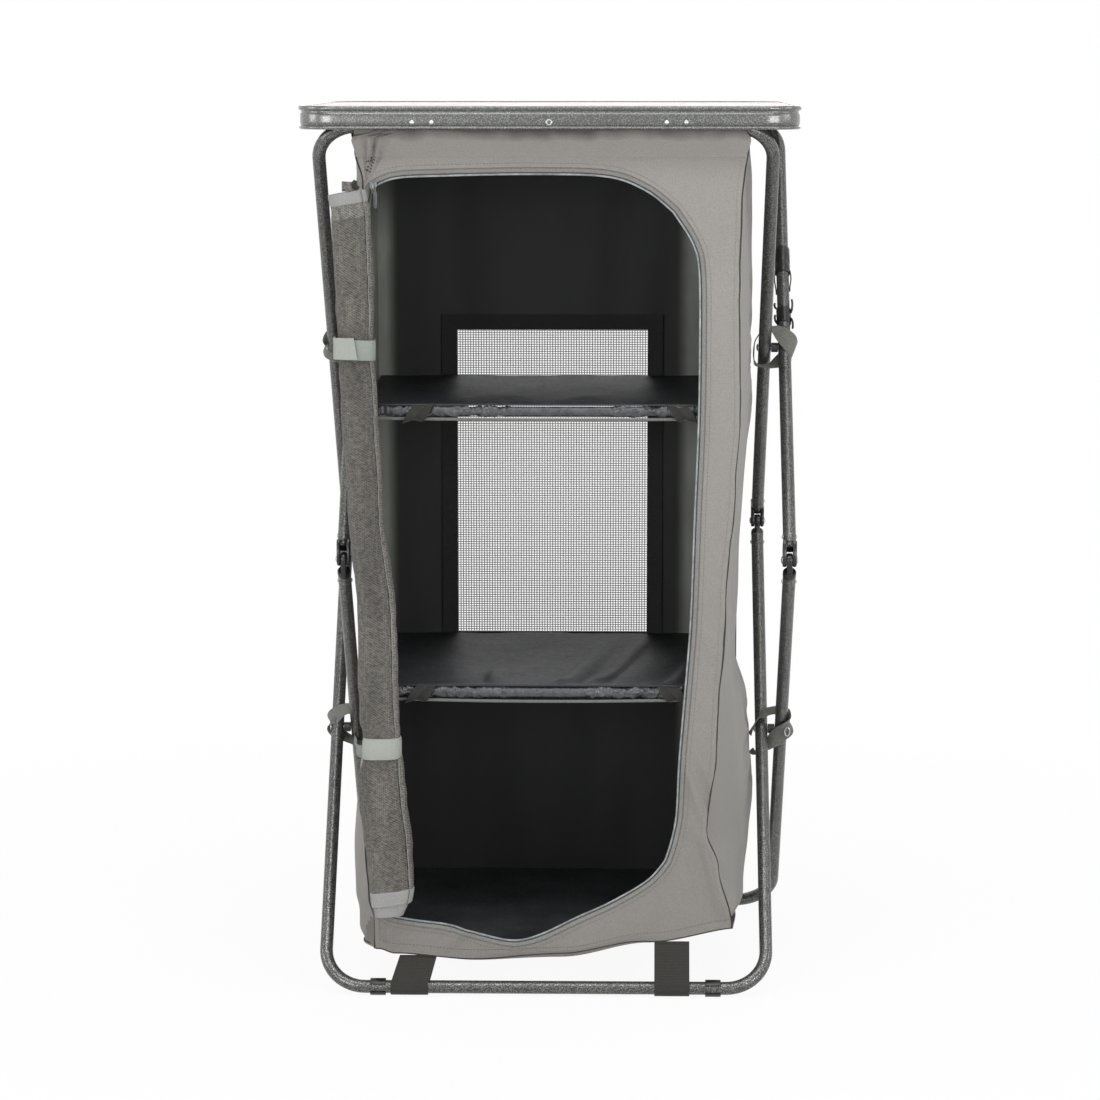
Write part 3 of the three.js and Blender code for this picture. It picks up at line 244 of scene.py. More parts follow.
class Graph(Tree):
    """A material's own tree."""

    def __init__(self, name):
        self.m = bpy.data.materials.new(name)
        super().__init__(self.m)
        self.b = self.t.nodes["Principled BSDF"]
        self.at = self.new("TexCoord").outputs["Object"]

    def noise(self, size, detail=2.0, rough=.5, stretch=(1, 1, 1)):
        """Noise with lumps size metres across."""
        mapped, node = self.new("Mapping"), self.new("TexNoise")
        self.put(mapped.inputs["Vector"], self.at)
        mapped.inputs["Scale"].default_value = stretch
        self.put(node.inputs["Vector"], mapped.outputs[0])
        for key, value in (("Scale", 1 / size), ("Detail", detail), ("Roughness", rough)):
            node.inputs[key].default_value = value
        return node.outputs["Fac"]

    def cells(self, size):
        node = self.new("TexVoronoi")
        self.put(node.inputs["Vector"], self.at)
        node.inputs["Scale"].default_value = 1 / size
        return node.outputs["Distance"]

    def axis(self, which):
        node = self.new("SeparateXYZ")
        self.put(node.inputs[0], self.at)
        return node.outputs[which]

    def thread(self, which, pitch, wobble=None, amount=0.0):
        """A row of threads across one axis, 0 to 1, pitch metres apart."""
        place = self.calc("MULTIPLY", self.axis(which), 2 * pi / pitch)
        if wobble is not None:
            place = self.calc("MULTIPLY_ADD", wobble, amount, place)
        return self.calc("MULTIPLY_ADD", self.calc("SINE", place), .5, .5)

    def print_of_threads(self, normal):
        """The faint print of fine threads, laid over other bumps."""
        across, deep, high = (self.thread(which, .0012) for which in "XYZ")
        return self.bump(self.calc("ADD", across, self.calc("ADD", deep, high)), .00006, .5, normal)

    def ramp(self, value, *stops):
        """Colours (or greys) along a value: pairs of place and colour."""
        node = self.new("ValToRGB")
        self.put(node.inputs[0], value)
        ramp = node.color_ramp
        while len(ramp.elements) < len(stops):
            ramp.elements.new(.5)
        for element, (place, colour) in zip(ramp.elements, stops):
            element.position = place
            element.color = (*srgb(colour), 1) if not isinstance(colour, float) else (colour,) * 3 + (1,)
        return node.outputs[0]

    def tones(self, value, colour, *stops):
        """A colour's darker and lighter tones along a value: pairs of place and lightness."""
        return self.ramp(value, *((place, lighter(colour, by)) for place, by in stops))

    def mix(self, share, a, b, how="MIX"):
        node = self.new("Mix", data_type="RGBA", blend_type=how)
        for index, value in ((0, share), (6, a), (7, b)):
            if isinstance(value, tuple):
                value = (*srgb(value), 1)
            self.put(node.inputs[index], value)
        return node.outputs[2]

    def shade(self, tone, value, *stops):
        """Darkens a colour along a value."""
        return self.mix(1.0, tone, self.tones(value, WHITE, *stops), "MULTIPLY")

    def bump(self, height, distance, strength, normal=None):
        node = self.new("Bump")
        node.inputs["Distance"].default_value = distance
        node.inputs["Strength"].default_value = strength
        self.put(node.inputs["Height"], height)
        if normal is not None:
            self.put(node.inputs["Normal"], normal)
        return node.outputs[0]

    def done(self, colour, rough, normal=None, **sockets):
        for socket, value in (("Base Color", colour), ("Roughness", rough), ("Normal", normal)):
            if value is not None:
                self.put(self.b.inputs[socket], value)
        for key, value in sockets.items():
            self.b.inputs[key.replace("_", " ")].default_value = value
        return self.m


def srgb(colour):
    return tuple(((c / 255 + .055) / 1.055) ** 2.4 if c > 10 else c / 255 / 12.92 for c in colour)


def lighter(colour, by):
    return tuple(clamp(c * by, 0, 255) for c in colour)


def woven(name, colour, pitch=.0011, depth=.00022, rough=.85, sheen=.25, dye=.16, under=None):
    """Plain weave: threads both ways on every face, a melange of yarns and slow changes of tone.

    under gives the heights in metres between which the tabletop's painted shadow sets in.
    """
    g = Graph(name)
    fuzz = .35
    drift = g.noise(.02)
    warp, fill, deep = (g.thread(which, pitch, drift, 3) for which in "XZY")
    weave = g.calc("MULTIPLY", g.calc("ADD", warp, deep), fill)
    yarn, cross = g.noise(.0024, 3, .7, (1, 1, 5)), g.noise(.0024, 3, .7, (5, 5, 1))
    blend = g.calc("MULTIPLY_ADD", yarn, .5, g.calc("MULTIPLY", cross, .5))
    yarns = g.tones(blend, colour, (.36, 1 - dye), (.64, 1 + dye))
    tone = g.mix(g.ramp(weave, (.0, .0), (1.0, fuzz)), lighter(colour, .72), yarns)
    tone = g.mix(1 - fuzz, g.shade(tone, g.noise(.16, 3), (.3, .9), (.7, 1)), yarns)
    if under:
        # painted shade: the cloth a little darker towards the bottom, and the tabletop's painted shadow from under[0]
        # up to under[1]
        high = g.calc("MULTIPLY_ADD", g.noise(.035, 3), .016, g.axis("Z"))
        tone = g.shade(tone, high, (.08, .9), (.6, .97), (1.0, 1))
        tabletop_shadow = g.ramp(g.calc("MULTIPLY_ADD", high, 8, -8 * under[0]), (.0, 1.0), (8 * (under[1] - under[0]), .16))
        tone = g.mix(1.0, tone, tabletop_shadow, "MULTIPLY")
    normal = g.bump(g.noise(.03, 3), .0016, .25, g.bump(weave, depth, .6))
    return g.done(tone, rough, normal, Sheen_Weight=sheen, Sheen_Roughness=.5)


def coated(name, colour, rough=(.42, .6), size=.05, crease=.0016):
    """Coated cloth: a smooth dark skin with soft creases and a faint print of the threads below."""
    g = Graph(name)
    slow, fine = g.noise(size, 4, .55), g.noise(.006, 3, .6)
    normal = g.print_of_threads(g.bump(slow, crease, .5, g.bump(fine, .0004, .5)))
    return g.done(g.tones(slow, colour, (.3, .8), (.7, 1.25)), g.ramp(fine, (.3, rough[0]), (.7, rough[1])), normal)


def plastic(name, colour, rough=(.25, .42)):
    """Moulded plastic: fine grain, faint scuffs and paler worn edges."""
    g = Graph(name)
    scuff = g.noise(.012, 5, .7)
    worn = g.ramp(g.new("NewGeometry").outputs["Pointiness"], (.5, 0.0), (.56, .3))
    tone = g.mix(worn, g.tones(scuff, colour, (.3, .8), (.75, 1.35)), lighter(colour, 2.1))
    return g.done(tone, g.ramp(scuff, (.35, rough[0]), (.7, rough[1])), g.bump(g.noise(.0007), .00006, .4))


def hammered(name, dark, mid, light, cell, depth, metallic, rough, coat=.15, shine=1.5):
    """Hammertone paint: round pools of metallic grey parted by dark rings, under a clear coat."""
    g = Graph(name)
    drift = g.noise(cell * 1.4, 3, .6)
    place = g.calc("MULTIPLY_ADD", drift, .28, g.calc("MULTIPLY", g.cells(cell), .88))
    tone = g.shade(g.ramp(place, (.3, light), (.47, mid), (.66, dark)), g.noise(.05, 3), (.3, .9), (.7, 1))
    return g.done(tone, g.ramp(place, (.25, rough[0]), (.75, rough[1])), g.bump(place, depth, .4), Metallic=metallic,
                  Coat_Weight=coat, Coat_Roughness=.26, Coat_IOR=shine)


def metal(name, colour, rough=(.2, .42)):
    """Plated steel: fine brushing and a few dull spots."""
    g = Graph(name)
    brush = g.noise(.0016, 4, .7, (1, 6, 1))
    tone = g.tones(g.noise(.004, 4, .7), colour, (.3, .78), (.6, 1))
    return g.done(tone, g.ramp(brush, (.3, rough[0]), (.7, rough[1])), g.bump(brush, .00004, .4), Metallic=.9)


def ribbed(name, colour, pitch=.0016, rough=.7, sheen=.2):
    """Webbing: raised ribs with a zigzag of yarns between them."""
    g = Graph(name)
    ribs = g.calc("MULTIPLY", g.thread("X", pitch), g.thread("Z", pitch * .8))
    both = g.calc("MAXIMUM", ribs, g.calc("MULTIPLY", g.thread("Y", pitch), .6))
    tone = g.mix(g.ramp(both, (.1, 0.0), (.9, 1.0)), lighter(colour, .62), lighter(colour, 1.1))
    tone = g.mix(.35, tone, g.tones(g.noise(.003, 4, .7), colour, (.3, .8), (.7, 1.25)))
    return g.done(tone, rough, g.bump(both, .00035, .7), Sheen_Weight=sheen)


def lit_through(name, dark, painted_lit_colour):
    """The coated inside of thin cloth, with painted light: a paler colour near the sides, where daylight comes through
    it, kept dark by painted shade at the bottom and just under the roof.
    """
    g = Graph(name)
    slow = g.noise(.05, 4, .55, (1, 1, .3))
    side = g.calc("ABSOLUTE", g.calc("ADD", g.axis("X"), .027))
    # painted light: how much of the paler colour shows, by the distance from the middle and by the height
    share = g.calc("MULTIPLY", g.ramp(side, (.186, 0.0), (.2, 1.0)),
                   g.ramp(g.axis("Z"), (.07, 0.0), (.3, .9), (.9, 1.0), (1.0, .25)))
    tone = g.mix(share, g.tones(slow, dark, (.3, .85), (.7, 1.2)), g.tones(slow, painted_lit_colour, (.3, .8), (.7, 1.1)))
    return g.done(tone, .6, g.print_of_threads(g.bump(slow, .0016, .5)))


def knitted(name, colour):
    """Net knit: small dark holes in slanting rows between thick yarns."""
    g = Graph(name)
    drift = g.noise(.02, 3)
    slant = g.calc("ADD", g.axis("Z"), g.calc("MULTIPLY", g.axis("X"), .62))
    rows = g.calc("SINE", g.calc("MULTIPLY_ADD", drift, 5, g.calc("MULTIPLY", slant, 2 * pi / .0030)))
    posts = g.calc("MAXIMUM", g.thread("X", .0026, drift, 5), g.thread("Y", .0026, drift, 5))
    holes = g.calc("MULTIPLY", g.calc("MULTIPLY_ADD", rows, .5, .5), posts)
    yarn = g.noise(.0026, 4, .75, (.6, .6, 1))
    tone = g.tones(holes, colour, (.04, 1.24), (.4, 1), (.8, .5))
    tone = g.mix(.55, tone, g.tones(yarn, colour, (.36, .5), (.62, 1.4)))
    tone = g.shade(tone, g.noise(.06, 4, .6, (1, 1, .35)), (.35, .82), (.68, 1))
    return g.done(tone, .9, g.bump(g.calc("SUBTRACT", 1.0, holes), .0008, .8, g.bump(yarn, .0005, .5)),
                  Sheen_Weight=.1)


def laminate(name, colour):
    """Pale board: a satin skin with a faint grain, dulled in use."""
    g = Graph(name)
    marks = g.noise(.09, 4, .6)
    tone = g.tones(g.noise(.02, 5, .7, (.12, 1, 1)), colour, (.35, .955), (.68, 1.03))
    tone = g.mix(.25, tone, g.tones(marks, colour, (.35, .9), (.6, 1)))
    return g.done(tone, g.ramp(marks, (.3, .34), (.7, .52)), g.bump(g.noise(.0011), .00005, .5),
                  Specular_IOR_Level=.06)


M = {
    "tube": hammered("tube_paint", (66, 67, 66), (104, 105, 103), (160, 161, 158), .0014, .00008, .6, (.26, .38)),
    "rim": hammered("rim_paint", (24, 27, 22), (66, 69, 63), (122, 124, 118), .0018, .00002, .3, (.3, .4), 1.0, 1.9),
    "board": laminate("board_laminate", (213, 207, 206)),
    "elbow": plastic("elbow_plastic", (18, 20, 19), (.16, .3)),
    "clip": plastic("clip_plastic", (22, 24, 23)),
    "steel": metal("plated_steel", (196, 198, 198)),
    # the cloth carries painted shade: darker towards the bottom, and the tabletop's painted shadow at its top
    "cloth": woven("polyester_cloth", (152, 148, 143), dye=.12, under=(1.053, 1.067)),
    "hem": woven("hem_cloth", (150, 150, 148), .0014, .0003, .8, dye=.12),
    "strip": knitted("door_strip", (112, 110, 104)),
    # painted shadow: a dark cloth for the shade in the seams' grooves, in folds and beside the zip
    "seam": woven("seam_shadow", (44, 42, 40), .0010),
    # painted shade: a darker copy of the cloth, for the bar sleeves and skirts under the tabletop and the left wall's
    # lower front corner
    "sleeve": woven("shaded_sleeve_cloth", (112, 104, 100), dye=.09),
    "lining": coated("cloth_coating", (18, 19, 19)),
    # painted light: the insides of the back and the side walls, each in a shaded and a lit colour; the side walls'
    # shaded colour is itself paler than the lining
    "back": lit_through("back_coating", (16, 17, 17), (142, 145, 139)),
    "wall": lit_through("wall_coating", (60, 63, 60), (162, 165, 157)),
    "floor": coated("floor_coating", (54, 57, 59), (.34, .54), .07),
    "shelf": coated("shelf_coating", (22, 24, 28), (.48, .6), .09, .0008),
    # painted light: a paler, glossier copy of the shelves' coating, standing in for the crumpled hems' highlights
    "lit_hem": coated("shelf_hem_coating", (60, 62, 65), (.2, .34), .01, .002),
    "band": ribbed("band_webbing", (100, 101, 96)),
    "webbing": ribbed("black_webbing", (39, 38, 34), rough=.85, sheen=.1),
    "border": woven("window_border", (42, 44, 43), .0018, .0004, .8, .1),
    # painted shade: a darker copy of the flap's sage webbing, for the upper tie's band where it lies under the flap
    "tie": woven("sage_webbing", (150, 157, 150), .0013, .0003, dye=.06),
    "flap": woven("sage_flap", (164, 169, 161), .0013, .0003, dye=.06),
    "strap": ribbed("dark_sage_webbing", (112, 113, 106), .0014),
    "net": woven("net_yarn", (202, 201, 205), .0008, .0001, .7, .1, dye=.06),
    "knit": knitted("door_knit", (93, 90, 85)),
    "tape": woven("zip_tape", (134, 133, 129), .0011, .0003, dye=.2),
    "coil": plastic("zip_coil", (126, 130, 131), (.35, .5)),
    "slider": metal("zip_slider_steel", (128, 130, 130), (.3, .5)),
    "pull": metal("zip_pull_steel", (92, 94, 94), (.35, .5)),
    "thread": woven("sewing_thread", (122, 119, 114), .0006, .0001, .7, .1),
    "dark_thread": woven("dark_thread", (98, 95, 90), .0006, .0001, .7, .1),
}


# ---- mesh helpers: points in millimetres, in the part's own frame ----
class Shape:
    """Gathers points and faces of several forms that make one piece."""

    def __init__(self):
        self.points, self.faces, self.looks = [], [], []

    def grid(self, rows, look=0, close_u=False, close_v=False, flip=False):
        """A net of points: rows is a list of equal lists, closed along u (row to row) or v (within a row)."""
        base, m, n = len(self.points), len(rows), len(rows[0])
        for row in rows:
            self.points.extend(row)
        for i in range(m if close_u else m - 1):
            for j in range(n if close_v else n - 1):
                a, b = i % m * n, (i + 1) % m * n
                f = (base + a + j, base + b + j, base + b + (j + 1) % n, base + a + (j + 1) % n)
                self.faces.append(f[::-1] if flip else f)
                self.looks.append(look)
        return self

    def cap(self, ring, look=0, flip=False):
        base = len(self.points)
        self.points.extend(ring)
        f = tuple(range(base, base + len(ring)))
        self.faces.append(f[::-1] if flip else f)
        self.looks.append(look)

    def caps(self, rings, look, flip=False):
        self.cap(rings[0], look, flip)
        self.cap(rings[-1], look, not flip)
        return self

    def skin(self, rows, thick, look=0, lining=0, edge=0, close_v=False):
        """A cloth of a thickness: rows are its outer face, and its inner face lies along the normals."""
        inner = offset(rows, thick, close_v)
        self.grid(rows, look, False, close_v)
        self.grid(inner, lining, False, close_v, True)
        self.grid([inner[0], rows[0]], edge, False, close_v)
        self.grid([rows[-1], inner[-1]], edge, False, close_v)
        if not close_v:
            self.grid([[r[0] for r in rows], [r[0] for r in inner]], edge)
            self.grid([[r[-1] for r in inner], [r[-1] for r in rows]], edge)
        return self

    def tube(self, path, radius, sides, look=0, closed=False):
        """A round rod along points. radius may be a function of the share along it."""
        rings = []
        for k, (p, side, rise) in enumerate(carry(path, closed)):
            r = radius(k / (len(path) - 1)) if callable(radius) else radius
            rings.append([p + side * (r * cos(a)) + rise * (r * sin(a)) for a in round_by(sides)])
        self.grid(rings, look, closed, True, True)
        return self if closed else self.caps(rings, look)

    def ribbon(self, path, wide, thick, look=0, up=(0, 0, 1), closed=False):
        """A flat strap along points: wide across up, with rounded long edges. wide may be a list."""
        rings = []
        for k, (p, side, rise) in enumerate(carry(path, closed, up)):
            h, t = (wide[k] if isinstance(wide, list) else wide) / 2, thick / 2
            rings.append([p + side * a + rise * b for a, b in (
                (-h, -t * .4), (-h + t, -t), (0, -t * 1.15), (h - t, -t), (h, -t * .4),
                (h, t * .4), (h - t, t), (0, t * 1.15), (-h + t, t), (-h, t * .4))])
        self.grid(rings, look, closed, True, True)
        return self if closed else self.caps(rings, look)

    def strap(self, rows, thick, look=0, count=7):
        """A ribbon that twists: each row is a point, the way its width points there, and its width."""
        line, ways = curve([r[:3] for r in rows], count), curve([r[3:6] for r in rows], count)
        return self.ribbon(line, [v.x for v in curve([(r[6], 0, 0) for r in rows], count)], thick, look, up=ways)

    def lathe(self, profile, place, axis, sides=24):
        """A turned form: profile of (radius, height) along axis from place."""
        axis = Vector(axis).normalized()
        side = axis.orthogonal().normalized()
        rise = axis.cross(side)
        rings = [[Vector(place) + axis * h + side * (r * cos(a)) + rise * (r * sin(a)) for a in round_by(sides)]
                 for r, h in profile]
        self.grid(rings, 0, False, True)
        return self.caps(rings, 0, True)

    def plate(self, outline, frame_of, low, high, edge):
        """A flat outline pushed out between low and high with rounded rims; frame_of maps (u, v, w)."""
        n = len(outline)
        turn = sum(outline[k - 1][0] * outline[k][1] - outline[k][0] * outline[k - 1][1] for k in range(n))

        def ring(shrink, w):
            out = []
            for k in range(n):
                (ax, ay), (bx, by), (cx, cy) = outline[k - 1], outline[k], outline[(k + 1) % n]
                tx, ty = cx - ax, cy - ay
                size = hypot(tx, ty) or 1
                nx, ny = (ty / size, -tx / size) if turn > 0 else (-ty / size, tx / size)
                out.append(frame_of(bx - nx * shrink, by - ny * shrink, w))
            return out

        r = min(edge, (high - low) / 2.2)
        rings = [ring(r, low), ring(r * .3, low + r * .3), ring(0, low + r), ring(0, high - r),
                 ring(r * .3, high - r * .3), ring(r, high)]
        self.grid(rings, 0, False, True)
        return self.caps(rings, 0, True)

    def make(self, name, looks, body, slot, stands_for="", flat=False):
        """One object that rides on a body.

        looks names its materials by each face's index, and stands_for the nodes whose place it takes.
        """
        mesh = bpy.data.meshes.new(name)
        mesh.from_pydata([((p[0] + SHIFT) / 1000, p[1] / 1000, p[2] / 1000) for p in self.points], [], self.faces)
        mesh.validate()
        for key in looks.split():
            mesh.materials.append(M[key])
        if len(self.looks) == len(mesh.polygons):
            mesh.polygons.foreach_set("material_index", self.looks)
        mesh.polygons.foreach_set("use_smooth", [True] * len(mesh.polygons))
        joined = bmesh.new()
        joined.from_mesh(mesh)
        bmesh.ops.remove_doubles(joined, verts=joined.verts, dist=1e-6)
        joined.to_mesh(mesh)
        joined.free()
        mesh.set_sharp_from_angle(angle=radians(42))
        mesh.update()
        o = bpy.data.objects.new(name, mesh)
        bpy.context.scene.collection.objects.link(o)
        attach(o, body)
        if flat:
            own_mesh(o)
        if stands_for:
            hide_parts(*stands_for.split())
        return o

    def soft(self, name, looks, slot="polyester", stands_for=""):
        """A piece of the cupboard: it rides with it."""
        return self.make(name, looks, "cupboard", slot, stands_for, True)


def carry(path, closed=False, up=None):
    """Point, side and rise at each place of a path, turned as little as may be, or side kept along up."""
    path = [Vector(p) for p in path]
    n = len(path)
    out, last = [], None
    for k, p in enumerate(path):
        a = path[k - 1] if closed or k else p
        b = path[(k + 1) % n] if closed or k < n - 1 else p
        t = (b - a).normalized()
        if up is not None:
            way = Vector(up[k] if isinstance(up, list) else up)
            side = way - t * way.dot(t)
        else:
            side = t.orthogonal() if last is None else last - t * last.dot(t)
        side.normalize()
        last = side
        out.append((p, side, side.cross(t).normalized()))
    return out


def offset(rows, by, close_v=False):
    """A net of points moved along its normals."""
    m, n = len(rows), len(rows[0])
    out = []
    for i in range(m):
        line = []
        for j in range(n):
            up, down = rows[min(i + 1, m - 1)], rows[max(i - 1, 0)]
            right = rows[i][(j + 1) % n] if close_v or j < n - 1 else rows[i][j]
            left = rows[i][j - 1] if close_v or j else rows[i][j]
            normal = (Vector(up[j]) - Vector(down[j])).cross(Vector(right) - Vector(left))
            if normal.length > 1e-9:
                normal.normalize()
            line.append(Vector(rows[i][j]) - normal * by)
        out.append(line)
    return out


def even(points, count, closed=False):
    """count points evenly along a line of points."""
    pts = [Vector(p) for p in points] + ([Vector(points[0])] if closed else [])
    far = [0.0]
    for a, b in zip(pts, pts[1:]):
        far.append(far[-1] + (b - a).length)
    out = []
    for k in range(count):
        d = far[-1] * k / (count if closed else count - 1)
        i = min(len(pts) - 2, max(0, bisect.bisect_right(far, d) - 1))
        out.append(pts[i].lerp(pts[i + 1], (d - far[i]) / max(1e-9, far[i + 1] - far[i])))
    return out


def curve(points, count):
    """A smooth line through the points, count steps to each."""
    pts = [Vector(p) for p in points]
    n = len(pts)
    out = []
    for k in range(n - 1):
        a, b, c, d = (pts[int(clamp(i, 0, n - 1))] for i in (k - 1, k, k + 1, k + 2))
        for s in range(count):
            t = s / count
            out.append(.5 * (2 * b + (c - a) * t + (2 * a - 5 * b + 4 * c - d) * t * t
                             + (3 * b - a - 3 * c + d) * t ** 3))
    return out + [pts[-1]]


# ---- the floor, the light and the camera ----
def studio():
    scene = bpy.context.scene
    scene.view_settings.view_transform = "Standard"
    scene.world = bpy.data.worlds.new("studio")
    sky = Tree(scene.world)
    sky.t.nodes.clear()
    out, glow = sky.new("OutputWorld"), sky.new("Background")
    glow.inputs[0].default_value, glow.inputs[1].default_value = (1, 1, 1, 1), .36
    rays = sky.new("LightPath").outputs
    seen = sky.calc("MAXIMUM", rays["Is Camera Ray"], rays["Is Glossy Ray"])
    sky.cover(sky.calc("MAXIMUM", seen, rays["Is Transmission Ray"]), glow.outputs[0], "Background", out)

    bpy.ops.mesh.primitive_plane_add(size=60, location=(0, 0, -.0005))
    floor = bpy.context.object
    floor.name = "studio_floor"
    g = Graph("studio_floor")
    g.done(g.ramp(g.noise(.6), (.3, (226, 226, 226)), (.7, (230, 230, 230))), .9)
    rays, far = g.new("LightPath").outputs, g.new("VectorMath", operation="LENGTH")
    g.put(far.inputs[0], g.at)
    reach = g.ramp(g.calc("MULTIPLY", far.outputs["Value"], .25), (.08, .93), (.42, 1.0))
    seen = g.calc("MAXIMUM", rays["Is Camera Ray"], rays["Is Glossy Ray"])
    g.cover(g.calc("MULTIPLY", seen, reach), g.b.outputs[0], "Emission", g.t.nodes["Material Output"])
    floor.data.materials.append(g.m)

    for name, place, size, power, aim in (
            ("key", (-.6, -1.9, 3.0), (1.2, .8), 17, (0, 0, .7)), ("fill", (.7, -1.9, 3.0), (1.2, .8), 13, (0, 0, .7)),
            ("strip_left", (-1.73, -3.1, 1.05), (1.8, .8), 34, (-.28, -.25, 1.07)),
            ("strip_right", (1.88, -3.02, 1.05), (1.8, .8), 34, (.28, -.25, 1.07)),
            ("top", (.2, -.6, 3.4), (2.4, 2.4), 26, (0, 0, .7)), ("back", (.4, 3.0, 2.2), (2.4, 2.4), 26, (0, 0, .7)),
            ("left", (-3.4, -1.0, 1.5), (1.3, 1.3), 26, (0, 0, .7)),
            ("right", (3.4, -1.0, 1.7), (1.3, 1.3), 18, (0, 0, .7))):
        light = bpy.data.lights.new(name, "AREA")
        light.shape, light.energy = "RECTANGLE", power
        light.size, light.size_y = size
        o = bpy.data.objects.new(name, light)
        scene.collection.objects.link(o)
        o.location = place
        o.rotation_euler = (Vector(aim) - Vector(place)).to_track_quat("-Z", "Y").to_euler()

    camera = bpy.data.cameras.new("camera")
    camera.lens, camera.sensor_width = 111.2, 36
    eye = bpy.data.objects.new("camera", camera)
    scene.collection.objects.link(eye)
    eye.location = (.0835, -4.287, 1.1369)
    eye.rotation_euler = (pi / 2 - .1424, 0, .0209)
    scene.camera = eye


# ---- the frame: hoops, elbows, pivots ----
def hoop_path(name):
    turns = [k / 16 * pi / 2 for k in range(17)]
    path = [(-HALF_HOOP, a) for a in [-288] + list(range(-251, 310, 40))]
    path += [(-HALF_HOOP + BEND - BEND * cos(t), LONG - BEND + BEND * sin(t)) for t in turns]
    path += [(x, LONG) for x in range(-180, 181, 40)]
    path += [(HALF_HOOP - BEND + BEND * sin(t), LONG - BEND + BEND * cos(t)) for t in turns]
    path += [(HALF_HOOP, a) for a in [269 - 40 * k for k in range(14)] + [-288]]
    return [on_hoop(name, x, along) for x, along in path]


def elbow_at(name, x):
    """The elbow's own axes: towards the pin, away from it along the tube, and across."""
    _, _, side, up = HOOPS[name]
    along = (on_hoop(name, 0, 1) - on_hoop(name, 0, 0)).normalized()
    inward = vec(0, side * COS, -up * SIN)
    across = inward.cross(along)
    place = vec(x, -side * ELBOW_Y, ELBOW_Z)
    return lambda u, v, w: place + inward * u + along * v + across * w


def elbow_outline():
    """The cheek's outline: straight along the plug, and round about the pin."""
    near, far, eye = vec(-.3, 9.6), vec(-18.4, 9.6), 8.5
    start = atan2(far.y, far.x) + acos(eye / far.length)
    end = atan2(near.y, near.x) - acos(eye / near.length) + 2 * pi
    return [(-2.2, 17), (-18.4, 17), (-18.4, 9.6)] + [(eye * cos(a), eye * sin(a)) for a in steps(start, end, 26)] + [
        (-.3, 9.6)]


def dome(half, shank, head, high):
    """A rivet's profile, with a domed head at both ends."""
    cap = [(head * cos(a), half + high * sin(a)) for a in (k * pi / 14 for k in range(8))]
    cap[-1] = (.05, half + high)
    side = [(shank, half - .01)] + [(head, half - .01)] + cap
    return [(r, -h) for r, h in reversed(side)] + side


def pinned(profile, place, name, look, slot, node):
    """A turned piece across the legs, on the body of the node that it stands for."""
    Shape().lathe(profile, place, (1, 0, 0)).make(name, look, frame["nodes"][node]["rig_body"], slot, node)


def frame_pieces():
    for name in HOOPS:
        Shape().tube(hoop_path(name), TUBE, 28).make(f"{name}_tube", "tube", name, "tube", f"{name}_hoop")
    plug = [(.05, 17.6), (7.2, 17.6), (8, 17.4), (8.25, 16.6), (8.25, 10.6), (7.6, 9.4), (.05, 9.2)]
    ring = [(2.7, -4.2), (5.6, -4.2), (6.2, -3.6), (6.2, 3.6), (5.6, 4.2), (2.7, 4.2)]
    for side, sign in SIDES:
        for place, upper, lower in (("rear", "upper_front", "lower_front"), ("front", "upper_rear", "lower_rear")):
            x, y = HOOPS[upper][0] + sign * HALF_HOOP, -HOOPS[upper][2] * ELBOW_Y
            for part, name in (("fork", upper), ("tongue", lower)):
                at = elbow_at(name, x)
                s = Shape().lathe(plug, at(-PIN_OFF, 0, 0), at(0, 1, 0) - at(0, 0, 0), 32)
                for low, high in [(3.8, 8.6), (-8.6, -3.8)] if part == "fork" else [(-3.5, 3.5)]:
                    s.plate(elbow_outline(), at, low, high, 1.5)
                s.make(f"{place}_{part}_{side}", "elbow", name, "elbow", f"{place}_elbow_{part}_{side}")
                s = Shape().lathe(dome(8, 2, 2.6, 1.5), at(-PIN_OFF, 27, 0), (1, 0, 0), 16)
                s.make(f"{place}_{part}_rivet_{side}", "steel", name, "steel")
            pinned(dome(8.7, 2.4, 4.6, 1.9), (x, y, ELBOW_Z), f"{place}_pin_{side}", "steel", "steel",
                   f"{place}_elbow_pin_{side}")
        for place, z in (("upper", UPPER_Z), ("lower", LOWER_Z)):
            middle = (7.5 + sign * HALF_HOOP, 0, z)
            pinned(dome(20.8, 2.4, 4.8, 2.2), middle, f"{place}_rivet_{side}", "steel", "steel",
                   f"{place}_pivot_rivet_{side}")
            pinned(ring, middle, f"{place}_spacer_{side}", "clip", "plastic", f"{place}_pivot_spacer_{side}")


# ---- the tabletop ----
def round_outline(width, deep, radius):
    """Points and outward directions round a rounded rectangle."""
    out = []
    for q, (sx, sy) in enumerate(((1, -1), (1, 1), (-1, 1), (-1, -1))):
        for t in steps(0, 1, 16):
            a = (q - 1 + t) * pi / 2
            d = vec(cos(a), sin(a), 0)
            out.append((vec(sx * (width / 2 - radius), sy * (deep / 2 - radius), 0) + d * radius, d))
    return out


